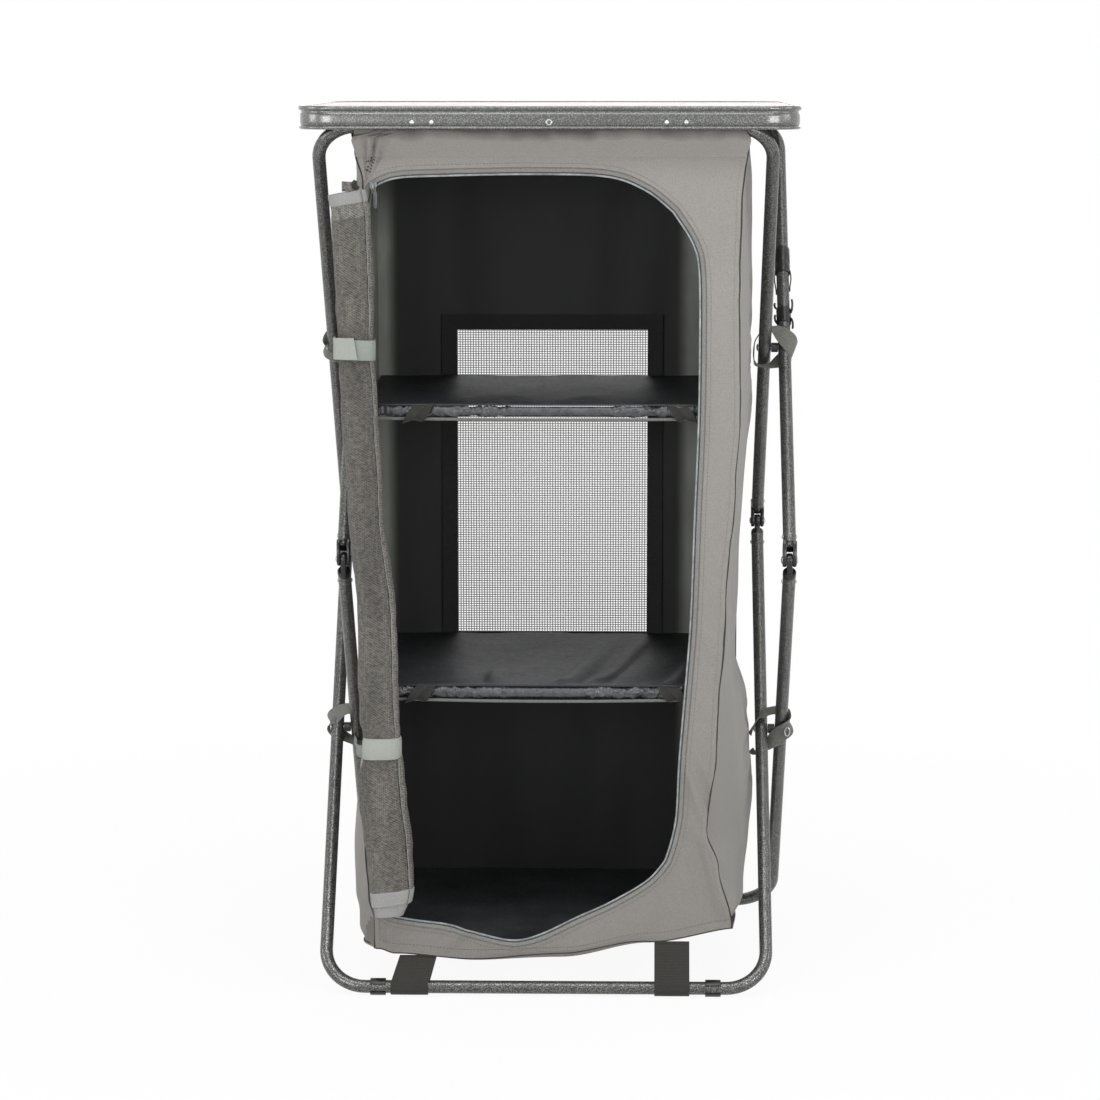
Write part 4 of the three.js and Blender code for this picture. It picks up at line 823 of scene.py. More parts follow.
def tabletop():
    low, high = RIM_BOTTOM, TOP
    ledge = TOP - 1.2 - 9 - .3
    half = [k * pi / 10 - pi / 2 for k in range(11)]
    profile = [(2.2 * cos(a), low + 2.1 + 2.1 * sin(a)) for a in half]
    profile += [(.1, low + 4.6), (.8, low + 5.6), (1.1, low + 9), (1.1, high - 12), (.8, high - 9.4),
                (0, high - 8.2), (-.2, high - 6.6), (.2, high - 5.9)]
    profile += [(1 + 2 * cos(a), high - 2.9 + 2.9 * sin(a)) for a in half]
    profile += [(-1.4, high), (-2, high - .5), (-2, ledge), (-9, ledge), (-9, ledge - 2), (-2, ledge - 2), (-2, low)]
    ring = round_outline(594, 494, 42)
    s = Shape().grid([[p + d * r + vec(0, 0, h) for p, d in ring] for r, h in profile + [profile[0]]], 0, False, True)
    s.make("top_rim", "rim", "tabletop", "rim", "tabletop_rim")
    ring = [(p.x, p.y) for p, _ in round_outline(589.2, 489.2, 39.6)]
    Shape().plate(ring, vec, high - 10.2, high - 1.2, .5).make("top_board", "board", "tabletop", "board",
                                                               "tabletop_board")
    z = (low + ledge) / 2
    for k, x in enumerate((-162, -139, 139, 162)):
        s = Shape().lathe([(.05, 1.9), (1.4, 1.8), (2.5, 1.2), (3.1, .3), (3.1, -.3)], (x, -248.4, z), (0, -1, 0))
        s.make(f"rim_rivet_{k + 1}", "steel", "tabletop", "steel")
    s = Shape().lathe([(1.7, -2.4), (1.7, .9), (2.2, 1.6), (3.2, 1.7), (4, 1.1), (4.3, .2), (4.3, -.2)],
                      (0, -247.9, z), (0, -1, 0), 28)
    s.make("rim_hole_ring", "steel", "tabletop", "steel", "rim_eyelet")


def small_clips():
    """Glides and keepers, finer than their solids; the bar clips keep theirs, with rounded edges."""
    for place, name in (("front", "lower_front"), ("rear", "lower_rear")):
        side = HOOPS[name][2]
        for end, sign in SIDES:
            mouth = 0 if side > 0 else pi
            half = radians(145)
            outer = [mouth + pi - half + 2 * half * k / 44 for k in range(45)]
            ring = [(r * cos(a), r * sin(a)) for r, turns in ((10.5, outer), (8.3, outer[::-1])) for a in turns]
            x = HOOPS[name][0] + sign * 206
            s = Shape().plate(ring, lambda u, v, w: vec(x + w, side * BAR_Y + u, BAR_Z + v), -9.5, 9.5, .5)
            s.make(f"{place}_foot_{end}", "clip", name, "plastic", f"{place}_glide_{end}")
    along = (on_hoop("upper_rear", 0, 1) - on_hoop("upper_rear", 0, 0)).normalized()
    across = vec(0, along.z, -along.y)

    def at(a, side, out):
        """A point beside the right leg: share a along it, and side and out across it."""
        return on_hoop("upper_rear", HALF_HOOP + side, a) - across * out

    s = Shape().lathe([(8.2, 0), (9, .2), (9.6, 1), (9.7, 14), (9.3, 15), (9.3, 16.2), (9.8, 17), (9.8, 38),
                       (9.1, 39.6), (8.2, 40)], at(112, 0, 0), along, 36)
    for side, low in ((-9.6, 81), (9.6, 86)):
        arm = [at(lerp(116, low, t), side + .9 * sin(5 * t) * (1 if side > 0 else -1), .6) for t in steps(0, 1, 12)]
        s.ribbon(arm, [6 - 2.6 * k / 12 for k in range(13)], 1.5, up=(0, 1, 0))
    s.make("upper_keeper", "clip", "upper_rear", "plastic", "upper_keeper_clip")
    s = Shape().lathe([(8.2, 0), (8.9, .2), (9.3, 1), (9.1, 3), (9.4, 5), (9, 8), (9.4, 12), (9.1, 16), (9.5, 20),
                       (9.2, 22), (8.2, 22.4)], at(35, 0, 0), along, 36)
    for start, side, rise, wide in ((36, -1, 12, 7), (58, -1, 8, 6), (52, 1, 20, 9), (44, 1, -16, 9)):
        hook = curve([at(start + rise * share, side * far, out) for share, far, out in
                      ((0, 8.8, 1), (.25, 10.6, 1.6), (.7, 11.4, 1.6), (1, 10.8, 1.4))], 5)
        s.ribbon(hook, [wide - (wide - 3) * k / (len(hook) - 1) for k in range(len(hook))], 2.4, up=(0, 1, 0))
    s.make("lower_keeper", "clip", "upper_rear", "plastic", "lower_keeper_clip")
    for name, node in frame["nodes"].items():
        if not node.hide_render and ("clip" in name or "zip" in name):
            node.data.materials.clear()
            node.data.materials.append(M["slider" if "zip" in name else "clip"])
            worn = node.modifiers.new("edges", "BEVEL")
            worn.width, worn.segments, worn.limit_method = .0003, 2, "ANGLE"


# ---- the cupboard's shell ----
# the door's opening, as points in x and z, and how many points each stretch of the ring round it gets
DOOR = {
    "bottom": [(-200, 97), (-180, 93), (-161, 90), (-124, 85), (-83, 73), (-44, 66), (-11, 74), (33, 95), (76, 115),
               (120, 142), (142, 167)],
    "right": [(142, 167), (150, 193), (156, 227), (159, 293), (166, 383), (172, 468), (176, 591), (180, 701),
              (181, 784), (180, 885), (172, 923), (148, 961)],
    "top": [(148, 961), (116, 986), (69, 1003), (-20, 1006), (-130, 1004), (-185, 1001), (-212, 990)],
    "left": [(-212, 990), (-217, 960), (-218.5, 900), (-216, 810), (-213, 734), (-208, 450), (-204, 250),
             (-202, 130), (-200, 97)],
}
AROUND = (("bottom", 130), ("right", 150), ("top", 170), ("left", 90))


def fan(x, z):
    """Folds that spread upwards from the door's top left corner."""
    if z < 999 or x > -150:
        return 0.0
    lean = (x + 221) / (z - 988)
    deep = smooth(z, 999, 1012) * (1 - smooth(z, 1046, 1060))
    return deep * (4.2 * bump(lean, .03, .07) - 5.4 * bump(lean, .14, .075) + 4.0 * bump(lean, .24, .06)
                   - 4.0 * bump(lean, .34, .08) + 2.4 * bump(lean, .46, .09) - 1.6 * bump(lean, .62, .12))


def front_y(x, z):
    """The front panel's outer face: nearly flat, drawn into folds where the right seam is pinched."""
    y = FRONT - 2.6 - 1.1 * n3(x, 0, z, 120) - .6 * n3(x, 5, z, 34)
    # the pinch beside the right seam, a fold and its hollow
    lean = (x - 176) + (z - 255) * .35
    y -= 6.5 * bump(lean, 0, 11) * bump(z, 258, 66) * smooth(x, 150, 175)
    y += 3.0 * bump(lean, 14, 10) * bump(z, 250, 62) * smooth(x, 160, 185)
    # the ridge that runs down from it to the corner
    ridge = x - lerp(188, 216, clamp((200 - z) / 105))
    y -= 6.0 * bump(ridge, 0, 13) * smooth(z, 80, 120) * (1 - smooth(z, 185, 235))
    y += 2.4 * bump(ridge, -19, 14) * smooth(z, 80, 120) * (1 - smooth(z, 190, 225))
    # two long slanting folds at the right, high and half way up
    y -= 2.6 * bump(x + z * .25 - 255, 0, 20) * bump(z, 800, 190) * smooth(x, 70, 120)
    y -= 2.8 * bump(x * .8 + z * .6 - 418, 0, 16) * bump(z, 470, 90) * smooth(x, 175, 195)
    y += fan(x, z)
    # the hem's roll, then the creases at the lower left
    low = z - hem_z(x)
    y -= (3.4 * smooth(low, 0, 9) * (1 - smooth(low, 12, 70)) - 1.8 * (1 - smooth(low, 0, 5))) * bump(x, 30, 150)
    y -= 3.0 * bump(x - z * .9 + 176, 0, 17) * bump(z, 78, 34) * (1 - smooth(x, -60, -20))
    y += 2.2 * bump(x + 203, 0, 9) * bump(z, 72, 30)
    return min(y, FRONT - .6)


def on_front(points, out=0.0):
    """Points in x and z laid on the front panel, or this far out from it."""
    return [vec(x, front_y(x, z) - out, z) for x, z in points]


def ring_points(lines):
    """The points of AROUND's stretches along four lines that close a ring."""
    return [(p.x, p.z) for name, count in AROUND for p in even(lines[name], count + 1)[:-1]]


def door_edge():
    return ring_points({name: curve([(x, 0, z) for x, z in line], 10) for name, line in DOOR.items()})


def outer_edge():
    left, right = CORNER[-1], CORNER[1]
    return ring_points({
        "bottom": [(x, 0, hem_z(x)) for x in steps(left, right, 60)],
        "right": [(side_x(1, FRONT, z), 0, z) for z in steps(hem_z(right), BAG_TOP, 120)],
        "top": [(x, 0, BAG_TOP) for x in steps(side_x(1, FRONT, BAG_TOP), side_x(-1, FRONT, BAG_TOP), 20)],
        "left": [(side_x(-1, FRONT, z), 0, z) for z in steps(BAG_TOP, hem_z(left), 120)],
    })


def between(inner, outer, t):
    return [(lerp(ax, bx, t), lerp(az, bz, t)) for (ax, az), (bx, bz) in zip(inner, outer)]


def ring_cloth(inner, outer, height_of, count, look=0, lining=1):
    """A cloth with an opening: count rows of points from its inner edge to its outer one."""
    rows = [[vec(x, height_of(x, z), z) for x, z in between(inner, outer, t)] for t in steps(0, 1, count)]
    back = [[p + vec(0, CLOTH, 0) for p in row] for row in rows]
    s = Shape().grid(rows, look, False, True, True).grid(back, lining, False, True)
    return s.grid([rows[0], back[0]], 0, False, True).grid([rows[-1], back[-1]], 0, False, True, True)


def seam_line(sign, y, low, high):
    return [vec(side_x(sign, y, z), y, z) for z in steps(low, high, 150)]


def wall_point(sign, y, z):
    """The side wall's outer face, with long soft folds and the pull of the loops at the pivots."""
    x = side_x(sign, y, z)
    deep = depth(y)
    free = sin(pi * deep) ** .7 * smooth(BAG_TOP - z, 0, 60) * smooth(z - HEM, 0, 40)
    fold = 2.6 * n3(sign * 40, y, z * .28, 42) + 1.4 * n3(sign * 60, y, z, 70)
    pull = -7 * (1 - smooth(z - floor_z(x, y), 0, 20)) * smooth(deep, 0, .06) * (1 - smooth(deep, .94, 1))
    for pivot in (UPPER_Z, LOWER_Z):
        far = hypot(y, z - pivot)
        if far < 150:
            pull += free * 3.0 * sin(9 * atan2(z - pivot, y)) * bump(far, 65, 65)
            pull += free * 3.5 * bump(far, 0, 30)
    return vec(x + sign * (fold * free + pull), y, z)


def cupboard():
    front = ring_cloth(door_edge(), outer_edge(), front_y, 22).soft("front_panel", "cloth lining",
                                                                   stands_for="cupboard_front")
    for name, sign in SIDES:
        rows = []
        for k in range(121):
            line = []
            for j in range(61):
                y = lerp(FRONT - .6, BACK - .6, (j / 60) ** 1.25)
                low = floor_z(side_x(sign, y, HEM), y)
                line.append(wall_point(sign, y, lerp(low, BAG_TOP, (k / 120) ** 1.15)))
            rows.append(line if sign > 0 else line[::-1])
        s = Shape().skin(rows, -CLOTH, 0, 1)
        s.faces = [face[::-1] for face in s.faces]
        # painted shade: faces of the left wall's outside near its lower front corner take the darker sleeve cloth
        for f, face in enumerate(s.faces):
            p = s.points[face[0]]
            if sign < 0 and s.looks[f] == 0 and -225.5 < p[0] and p[1] < -176 and p[2] < 101 + (p[0] + 213) * 2.1:
                s.looks[f] = 2
        wall = s.soft(f"{name}_wall", "cloth wall sleeve", stands_for=f"cupboard_{name}_side")
    inner, out = [], []
    left, right = side_x(-1, BACK, BAG_TOP), side_x(1, BACK, BAG_TOP)
    edges = [(left, HEM + 14), (right, HEM + 14), (right, BAG_TOP), (left, BAG_TOP)]
    for box, line in ((WINDOW, inner), (edges, out)):
        for k in range(4):
            (ax, az), (bx, bz) = box[k], box[(k + 1) % 4]
            line += [(lerp(ax, bx, t / 40), lerp(az, bz, t / 40)) for t in range(40)]

    def back_y(x, z):
        free = smooth(min(x - left, right - x, BAG_TOP - z, z - HEM), 0, 60)
        return BACK - 1.6 + 1.6 * n3(x * 1.4, 9, z * .4, 70) * free

    back = ring_cloth(inner, out, back_y, 14, 1, 0).soft("back_panel", "cloth back", stands_for="cupboard_back")

    def roof(x, y):
        return BAG_TOP - .4 - 2.2 * sin(pi * depth(y)) + .5 * n3(x, y, 0, 80)

    def floor(x, y):
        return floor_z(x, y) + 1.2 + .9 * n3(x, y, 3, 60)

    for name, height, level, thick, looks, slot, held in (
            ("roof", roof, BAG_TOP, CLOTH, "cloth lining", "polyester", "stretched"),
            ("floor", floor, HEM, 2, "floor cloth", "lining", "hung")):
        rows = []
        for y in steps(FRONT - .4, BACK - 1, 48):
            a, b = side_x(-1, y, level) + .5, side_x(1, y, level) - .5
            rows.append([vec(x, y, height(x, y)) for x in steps(a, b, 60)])
        cloth = Shape().skin(rows[::-1], thick, 0, 1, 1).soft(f"{name}_cloth", looks, slot, f"cupboard_{name}")
    # dark cords in the seam cloth along the front's and the back's side seams and the front's hem: painted shadow in
    # their grooves
    seams = Shape()
    for sign in (1, -1):
        low = hem_z(CORNER[sign])
        seams.tube([p + vec(sign * (.5 + .9 * n3(0, sign * 9, p.z, 26)), -2.1, 0) for p in
                    seam_line(sign, FRONT, low, BAG_TOP - 1)],
                   lambda t: .9 + .6 * bump(t, .36, .05) + .25 * smooth(t, .8, .95), 8)
        seams.tube(seam_line(sign, BACK - .6, HEM + 15, BAG_TOP - 1), 1.2, 8)
    hem = [(x, hem_z(x) + .4 + 4.2 * bump(x, 30, 120)) for x in steps(CORNER[-1], CORNER[1], 120)]
    seams.tube(on_front(hem, -.2), .9, 8).soft("cupboard_seams", "seam")


def window():
    s = Shape()
    y = BACK - 3.6  # the net's plane, just inside the back panel
    lap, wide = 3, 17  # how far the border goes over the net, and over the panel
    out = [(-1, -1), (1, -1), (1, 1), (-1, 1)]
    for k in range(4):
        (ax, az), (bx, bz), (ox, oz), (px, pz) = WINDOW[k], WINDOW[(k + 1) % 4], out[k], out[(k + 1) % 4]
        s.skin([[vec(lerp(ax + ox * w, bx + px * w, t / 40), y - .5 + .3 * n3(t * 9, k * 50, m * 8, 30),
                     lerp(az + oz * w, bz + pz * w, t / 40)) for t in range(41)]
                for m, w in enumerate(steps(-lap, wide, 4))], -1)
    border = s.soft("window_border_strip", "border", "webbing")
    s = Shape()
    pitch_x, pitch_z = 3.5, 3.1
    (left, low), (right, _), (_, high), _ = WINDOW
    wide, tall = right - left, high - low

    def sag(x, z):
        return y + .4 + .3 * sin(pi * (x - left) / wide) * sin(pi * (z - low) / tall)

    for x in (left + k * pitch_x for k in range(int(wide / pitch_x) + 1)):
        s.tube([vec(x, sag(x, z), z) for z in range(low, high + 2, 34)], .8, 4)
    for z in (low + k * pitch_z for k in range(int(tall / pitch_z) + 1)):
        s.tube([vec(x, sag(x, z) + .5, z) for x in steps(left, right, 13)], .7, 4)
    net = s.soft("window_mesh", "net", "net", "window_net")


# ---- shelves ----
def shelf(name, height, ribs, loops, drop, ridges, tents):
    """A shelf: ribs is its hem's ribbed stretch, loops its front straps; ridges and tents are its folds."""
    front, back = FRONT + 16, BACK - 8.2

    def top(x, y):
        across, deep = (x - MIDDLE) / HALF_BAG, clamp((y - front) / (back - front))
        belly = max(0, 1 - across * across) * sin(pi * deep)
        fold = 2.6 * n3(x - y * .55, (y + x * .5) * .22, height, 60) + .6 * n3(x, y, height + 40, 24)
        for place, way, wide, rise in ridges:
            fold += rise * bump(x - place - way * deep, 0, wide) * smooth(deep, 0, .08) * (1 - smooth(deep, .6, 1))
        for place, middle, wide, rise in tents:
            fold += rise * max(0, 1 - hypot((x - place) / wide, (deep - middle) / .34)) ** 1.3
        return height - 9 * belly + fold * smooth(deep, 0, .1) * (1 - .5 * deep)

    def edge(sign, y):
        return side_x(sign, y, height) - sign * 3.6

    rows = [[vec(x, y, top(x, y)) for x in steps(edge(-1, y), edge(1, y), 110)] for y in steps(front, back, 56)]
    cloth = Shape().skin(rows, 2.0).soft(f"{name}_shelf_cloth", "shelf", "shelf", f"{name}_shelf")
    a, b = edge(-1, front), edge(1, front)
    rings = []
    count = 520
    for j, x in enumerate(steps(a, b, count)):
        middle = smooth(x, ribs[0], ribs[0] + 7) * (1 - smooth(x, ribs[1] - 7, ribs[1]))
        crumple = 1 - middle
        ring = []
        for t in round_by(20):
            u, w = 7 * cos(t), 7 * sin(t)
            rough = crumple * (1.7 * creases(x, u * 1.4, w + height, 17) + 1.1 * creases(x, u, w, 6)) * (
                .6 + .4 * n3(x, 1, height, 45))
            r = 1 + (rough * .18 + middle * .32 * sin(x * 1.9) * .1)
            slump = crumple * 2.2 * n3(x, 0, height, 30)
            z = height - 6.4 - drop * .5 * sin(pi * j / count) + (6 * r) * sin(t) + slump * .4
            ring.append(vec(x, front + 2.2 + 4.4 * r * cos(t), z))
        rings.append(ring)
    # the hem takes the paler coating: painted light
    hem = Shape().grid(rings, 0, False, True).caps(rings, 0).soft(f"{name}_shelf_hem", "lit_hem", "shelf")
    strap = [vec(lerp(a, b, k / 60), front - .6, height - 15.4 - drop * sin(pi * k / 60)) for k in range(61)]
    s = Shape().ribbon(strap, 3.6, 1.5, 0)
    for x, slant in loops:
        loop = [vec(x + slant * 9 * sin(t), front + 1.6 + 6.6 * cos(t), height - 9.6 + 8.8 * sin(t))
                for t in round_by(24)]
        s.ribbon(loop, 22, 1.1, 1, up=(1, 0, .3 * slant), closed=True)
    band = s.soft(f"{name}_shelf_strap", "band webbing", "webbing", f"{name}_shelf_band")


# ---- the rolled door and its ties ----
def near_tie(z, reach):
    return max(bump(z, height, reach) for height in TIES)


def squarish(share, power):
    """A sine or cosine with fuller shoulders."""
    return copysign(abs(share) ** power, share)


def roll():
    """The door rolled up into a flat roll: a spiral that is wide, shallow and squeezed by its ties."""
    turns, per = 3, 56
    count = turns * per
    tall = ROLL_HIGH - ROLL_LOW
    low_hem, high_hem, strip = 17, 13, 30  # the hems' heights, and where the strip below the upper one ends
    # shares of the length: closer rows at the hems at both ends
    up = ([v / tall for v in (0, 2, 5, 8, 11, 14, 16, 17.2)] + [v / tall for v in steps(24, tall - 36, 150)]
          + [1 - v / tall for v in (30.5, 29.3, 25, 21, 17, 13.7, 12.5, 10, 7, 4, 2, 0)])
    rows = []
    for share in up:
        line = []
        for j in range(count + 1):
            a = 2 * pi * j / per
            inward = smooth(j / count, .36, .48)
            turn = a - radians(40)
            lean = cos(turn)
            z = lerp(lerp(ROLL_LOW, 102.5, inward) + 4 * lean * (1 - .6 * inward), ROLL_HIGH - 3.5 + 3.5 * lean, share)
            left, right = roll_edges(z)
            shrink = 1 - .115 * a / (2 * pi)
            hem = (.8 if share * tall < low_hem or share * tall > tall - high_hem
                   else .35 if share * tall > tall - strip else 0)
            half, deep = (right - left) / 2 + .6 + hem, 15.2 + hem
            crease = 1.9 * n3(40 * cos(turn), 40 * sin(turn), z * .26, 26) + 1.1 * n3(j, 3, z, 15)
            tie = near_tie(z, 38)
            gather = 1.3 * tie * sin(j * .9 + 2 * n3(j, 0, z, 30))
            crease = crease * (1 - .5 * tie) - 1.9 * tie + gather * (1 - near_tie(z, 15))
            x = (left + right) / 2 + (half * shrink + crease * shrink) * squarish(lean, .8)
            y = ROLL_Y + (deep * shrink + crease * .6 * shrink) * squarish(sin(turn), .8)
            line.append(vec(x, clamp(y, -246.8, -213.2), z))
        rows.append(line)
    # the cloth's edges take the dark seam cloth: painted shadow at the roll's ends and along its outer layer's edge
    s = Shape().skin(rows, 1.4, 0, 0, 3)
    wide = count + 1
    for f, face in enumerate(s.faces):
        k = min(face) // wide % len(up)
        share = up[min(k + 1, len(up) - 1)] * tall
        if share < low_hem + .5 or share > tall - high_hem + .4:
            s.looks[f] = 1
        elif share > tall - strip + .5 or min(face) % wide < 3:
            s.looks[f] = 2
    cloth = s.soft("rolled_door_cloth", "knit hem strip seam", "knit", "rolled_door")


def oval(z, left, right, deep, turn):
    return [vec((left + right) / 2 + (right - left) / 2 * squarish(cos(a), .72),
                ROLL_Y + .3 + deep * squarish(sin(a), .72), z + turn * cos(a)) for a in round_by(48)]


def ties():
    high, low = TIES
    left, right = roll_edges(high)
    # the band round the roll is in the darker tie webbing: painted shade under the flap
    s = Shape().ribbon(oval(high - 1.6, left - 2, right + 1.6, 17.2, -1), 24, 1.3, closed=True)
    rows = []
    for z, tip in zip(steps(high - 12.4, high + 13.4, 5), steps(-228.5, -232.8, 5)):
        rows.append(curve([(left - 2.6, -228, z), (left - 3.4, -238, z), (left - 1.4, -246.6, z), (left + 7, -250.2, z),
                           (tip - 8, -251, z), (tip, -250.8, z)], 5))
    s.skin(rows, 1.3, 2, 2, 2)
    s.strap([(left + 4, -214, 793, 0, 0, 1, 22), (-255, -150, 787, 0, 0, 1, 18), (-260, -60, 778, 0, .2, 1, 15),
             (-266, -2, 770, 0, .4, .8, 14)], 1.2, 1)
    s.soft("upper_tie", "tie strap flap", "tie", "upper_door_tie")
    left, right = roll_edges(low)
    s = Shape().ribbon(oval(low, left - .8, right + .4, 17.3, .8), 23.5, 1.3, closed=True)
    s.ribbon(oval(low + 2.5, left, right, 16, .4), 23, 1.1, closed=True)
    s.strap([(left + 4, -214, 300, 0, 0, 1, 20), (-240, -150, 292, 0, 0, 1, 14), (-248, -60, 282, 0, .2, 1, 12),
             (-256, 0, 275, 0, .4, .8, 12)], 1.2, 1)
    s.soft("lower_tie", "flap strap", "tie", "lower_door_tie")
    rows = [[vec(lerp(-248, -229, k / 6), -219 + .8 * sin(k), lerp(985, 997, m / 4) - .9 * k / 6) for k in range(7)]
            for m in range(5)]
    Shape().skin(rows, 1.2).soft("door_end_tab", "strip")
    # a small fold at the door's end in the dark seam cloth: painted shadow
    fold = [(-231, -221.5, 998, 1, 0, .3, 5), (-233, -222.5, 993, 1, 0, .2, 6.5), (-228, -222.5, 988, .8, 0, .6, 6)]
    Shape().strap(fold, 2.2).soft("door_end_fold", "seam")


# ---- the loops at the pivots: each row is a point, the way the strap's width points there, and its width ----
LOOPS = {
    ("upper", "right"): [
        (262, 6, 800, 0, 1, 0, 10), (255.5, 3, 790, .1, 1, 0, 12), (253.6, 1, 781, 0, 1, 0, 13),
        (253.4, 0, 768, 0, 1, 0, 13),
        (256, 0, 760, .2, 1, .1, 13), (264, 0, 757.8, 0, 1, .12, 13), (274, 1, 757.6, 0, .9, .35, 13),
        (283, 4, 761.5, 0, .5, .8, 15), (292, 8, 767, .2, .3, .9, 19), (301, 6, 773, .5, .3, .8, 22),
        (304.3, -1, 779, .3, .5, .8, 24), (299.5, -6, 787, .42, .5, .75, 26), (290, -6.4, 797, .5, .4, .75, 22),
        (281, -3, 804, .45, .6, .6, 15), (275, 0, 806, .3, .9, .3, 12), (269, 5, 803, 0, 1, .2, 11)],
    ("lower", "right"): [
        (252.5, 0, 284, 0, .6, 1, 9), (258, -2, 297, .5, .6, .8, 12), (266, -2.5, 309, .6, .4, .7, 16),
        (277, -3, 315, .4, .6, .7, 13), (290, -6.2, 316, .1, .7, .7, 15), (301.8, -12, 306, 0, -.62, .78, 22),
        (298, -14, 294, -.35, -.5, .8, 24), (287, -5, 282, -.4, -.4, .85, 22), (277, -1, 270, -.2, .5, .6, 13),
        (267, -9, 264, 0, 1, .2, 9), (258, -4, 261, 0, .9, .4, 9), (253.5, -1, 264, 0, .6, 1, 9)],
    ("upper", "left"): [
        (-244, 0, 774, 0, 0, 1, 16), (-253, 2.8, 770, 0, .6, .8, 14), (-265, 0, 768, 0, .4, .8, 14),
        (-276, -3.8, 770, .3, .5, .8, 16), (-287.5, 0, 781, .1, -.5, .85, 19), (-280, .4, 797, -.3, -.3, .9, 16),
        (-266, 0, 800, 0, .5, .8, 14), (-253, .4, 796, 0, .6, .8, 14), (-244, 0, 790, 0, 0, 1, 14)],
    ("lower", "left"): [
        (-246, 0, 300, 0, 0, 1, 16), (-253, -6.2, 314, 0, .6, .8, 14), (-265, -4, 316, .2, .5, .8, 16),
        (-277, .6, 309, -.4, .5, .75, 20), (-287, 6, 298, -.2, .6, .78, 22), (-279, 5.4, 284, .2, .5, .8, 18),
        (-266, 5, 277, 0, .5, .8, 13), (-253, 3, 271, 0, .6, .8, 11), (-246, 0, 268, 0, 0, 1, 12)],
}


def pivot_loops():
    """At each pivot a webbing strap goes round both tubes, crossing between them, and is sewn to the side."""
    for (place, side), rows in LOOPS.items():
        sign = 1 if side == "right" else -1
        s = Shape().strap(rows, 1.3)
        if (place, side) == ("lower", "right"):
            s.tube([vec(299.5 + 3.2 * cos(t), -15.6, 290.5 + 5.4 * sin(t)) for t in round_by(24)], .9, 8, 1, True)
        stands = "" if (place, side) == ("upper", "left") else f"{place}_{side}_pivot_loop"
        s.make(f"{place}_{side}_loop", "strap steel", f"{place}_front", "tie", stands)
        z = (UPPER_Z if place == "upper" else LOWER_Z) - 6
        tab = [vec(side_x(sign, y, z) + sign * lift, y, z)
               for y, lift in ((-12, .6), (-6, 1.6), (0, 2), (6, 1.6), (12, .6))]
        Shape().ribbon(tab, 28, 1.2).soft(f"{place}_{side}_tab", "strap", "tie")


def floor_straps():
    rows = (("front", "left", -172.5, "lower_front", -1, 46, 10.5), ("front", "right", 150.5, "lower_front", -1, 43, 0),
            ("rear", "left", -150, "lower_rear", 1, 43, 0), ("rear", "right", 170, "lower_rear", 1, 43, 0))
    for place, side, x, body, end, wide, shift in rows:
        top = hem_z(x) if end < 0 else HEM + 15
        apex = vec(0, (FRONT if end < 0 else BACK) - end * BAR_Y, top - BAR_Z - 2)
        spread, bearing = acos(9.4 / apex.length), atan2(apex.z, apex.y)
        arc = [vec(x, end * BAR_Y + LOOSE * cos(a), BAR_Z + LOOSE * sin(a))
               for a in steps(bearing + spread, bearing - spread + 2 * pi, 30)]
        s = Shape().ribbon(arc, wide, 1.3, up=(1, 0, 0))
        s.make(f"{place}_{side}_strap_loop", "webbing", body, "webbing", f"{place}_floor_strap_{side}")
        s = Shape()
        tip = vec(x + shift, end * BAR_Y + apex.y, BAR_Z + apex.z)
        for start, turn in ((arc[0], 1), (arc[-1], -1)):
            s.skin([[start.lerp(tip, k / 14) + vec(w * wide / 2, .5 * n3(w * 20, k * 5, x, 18), 0)
                     for w in (m / 5 - 1 for m in range(11))] for k in range(15)], 1.2 * turn * end)
        s.soft(f"{place}_{side}_strap_web", "webbing", "webbing")


# ---- sleeves on the top bars, zip and stitching ----
def bar_sleeves():
    """Cloth sleeves on the two top bars, and the short skirts by which the cupboard hangs from them."""
    for name, body, end in (("front", "upper_front", -1), ("rear", "upper_rear", 1)):
        sleeve, skirt = Shape(), Shape()
        wall = FRONT - 1 if end < 0 else BACK - 1
        for a, b in ((-232, -171), (-131, 131), (167, 218)):
            along = steps(a, b, max(12, int((b - a) / 5)))
            rings = []
            for x in along:
                ring = []
                for t in round_by(28):
                    r = LOOSE + .5 * n3(x, 12 * cos(t), 12 * sin(t), 22)
                    ring.append(vec(x, end * BAR_Y + r * cos(t), TOP_BAR + r * sin(t)))
                rings.append(ring)
            sleeve.skin(rings, .8, close_v=True)
            skirt.skin([[vec(x, lerp(end * (BAR_Y - 4.6), wall, k / 4),
                             lerp(TOP_BAR - 8.6, BAG_TOP - 3, k / 4) + .4 * n3(x, k * 6, 0, 30)) for x in along]
                        for k in range(5)], .9 * end)
        # the sleeves and skirts take the darker sleeve cloth: painted shade under the tabletop
        sleeve.make(f"{name}_bar_sleeve", "sleeve", body, "polyester")
        skirt.soft(f"{name}_sleeve_skirt", "sleeve")
    rows = []
    low = 1026  # where the front's top edge ends, on the panel
    for t in steps(0, 1, 8):
        z = lerp(1058.2, low, t)
        left = lerp(-206, -236, smooth(t, .02, .3)) + 4.5 * smooth(t, .3, 1)
        right = lerp(233, 239.5, smooth(t, 0, .35)) - 4.5 * smooth(t, .35, 1)
        line = []
        for x in steps(left, right, 240):
            y = lerp(-235.6 + .5 * n3(x, 0, 3, 40), front_y(x, low) - fan(x, low) - .35, t ** .8) + fan(x, z)
            line.append(vec(x, min(y, front_y(x, z) - .35 - 1.2 * (1 - smooth(x, -190, -150))), z))
        rows.append(line)
    apron = Shape().skin(rows, .3).soft("front_top_edge", "cloth")


def outward(points, by):
    """A closed line moved away from its inside, in the front's plane."""
    out = []
    for k, (x, z) in enumerate(points):
        (ax, az), (bx, bz) = points[k - 1], points[(k + 1) % len(points)]
        size = hypot(bx - ax, bz - az) or 1
        out.append((x + (bz - az) / size * by, z - (bx - ax) / size * by))
    return out


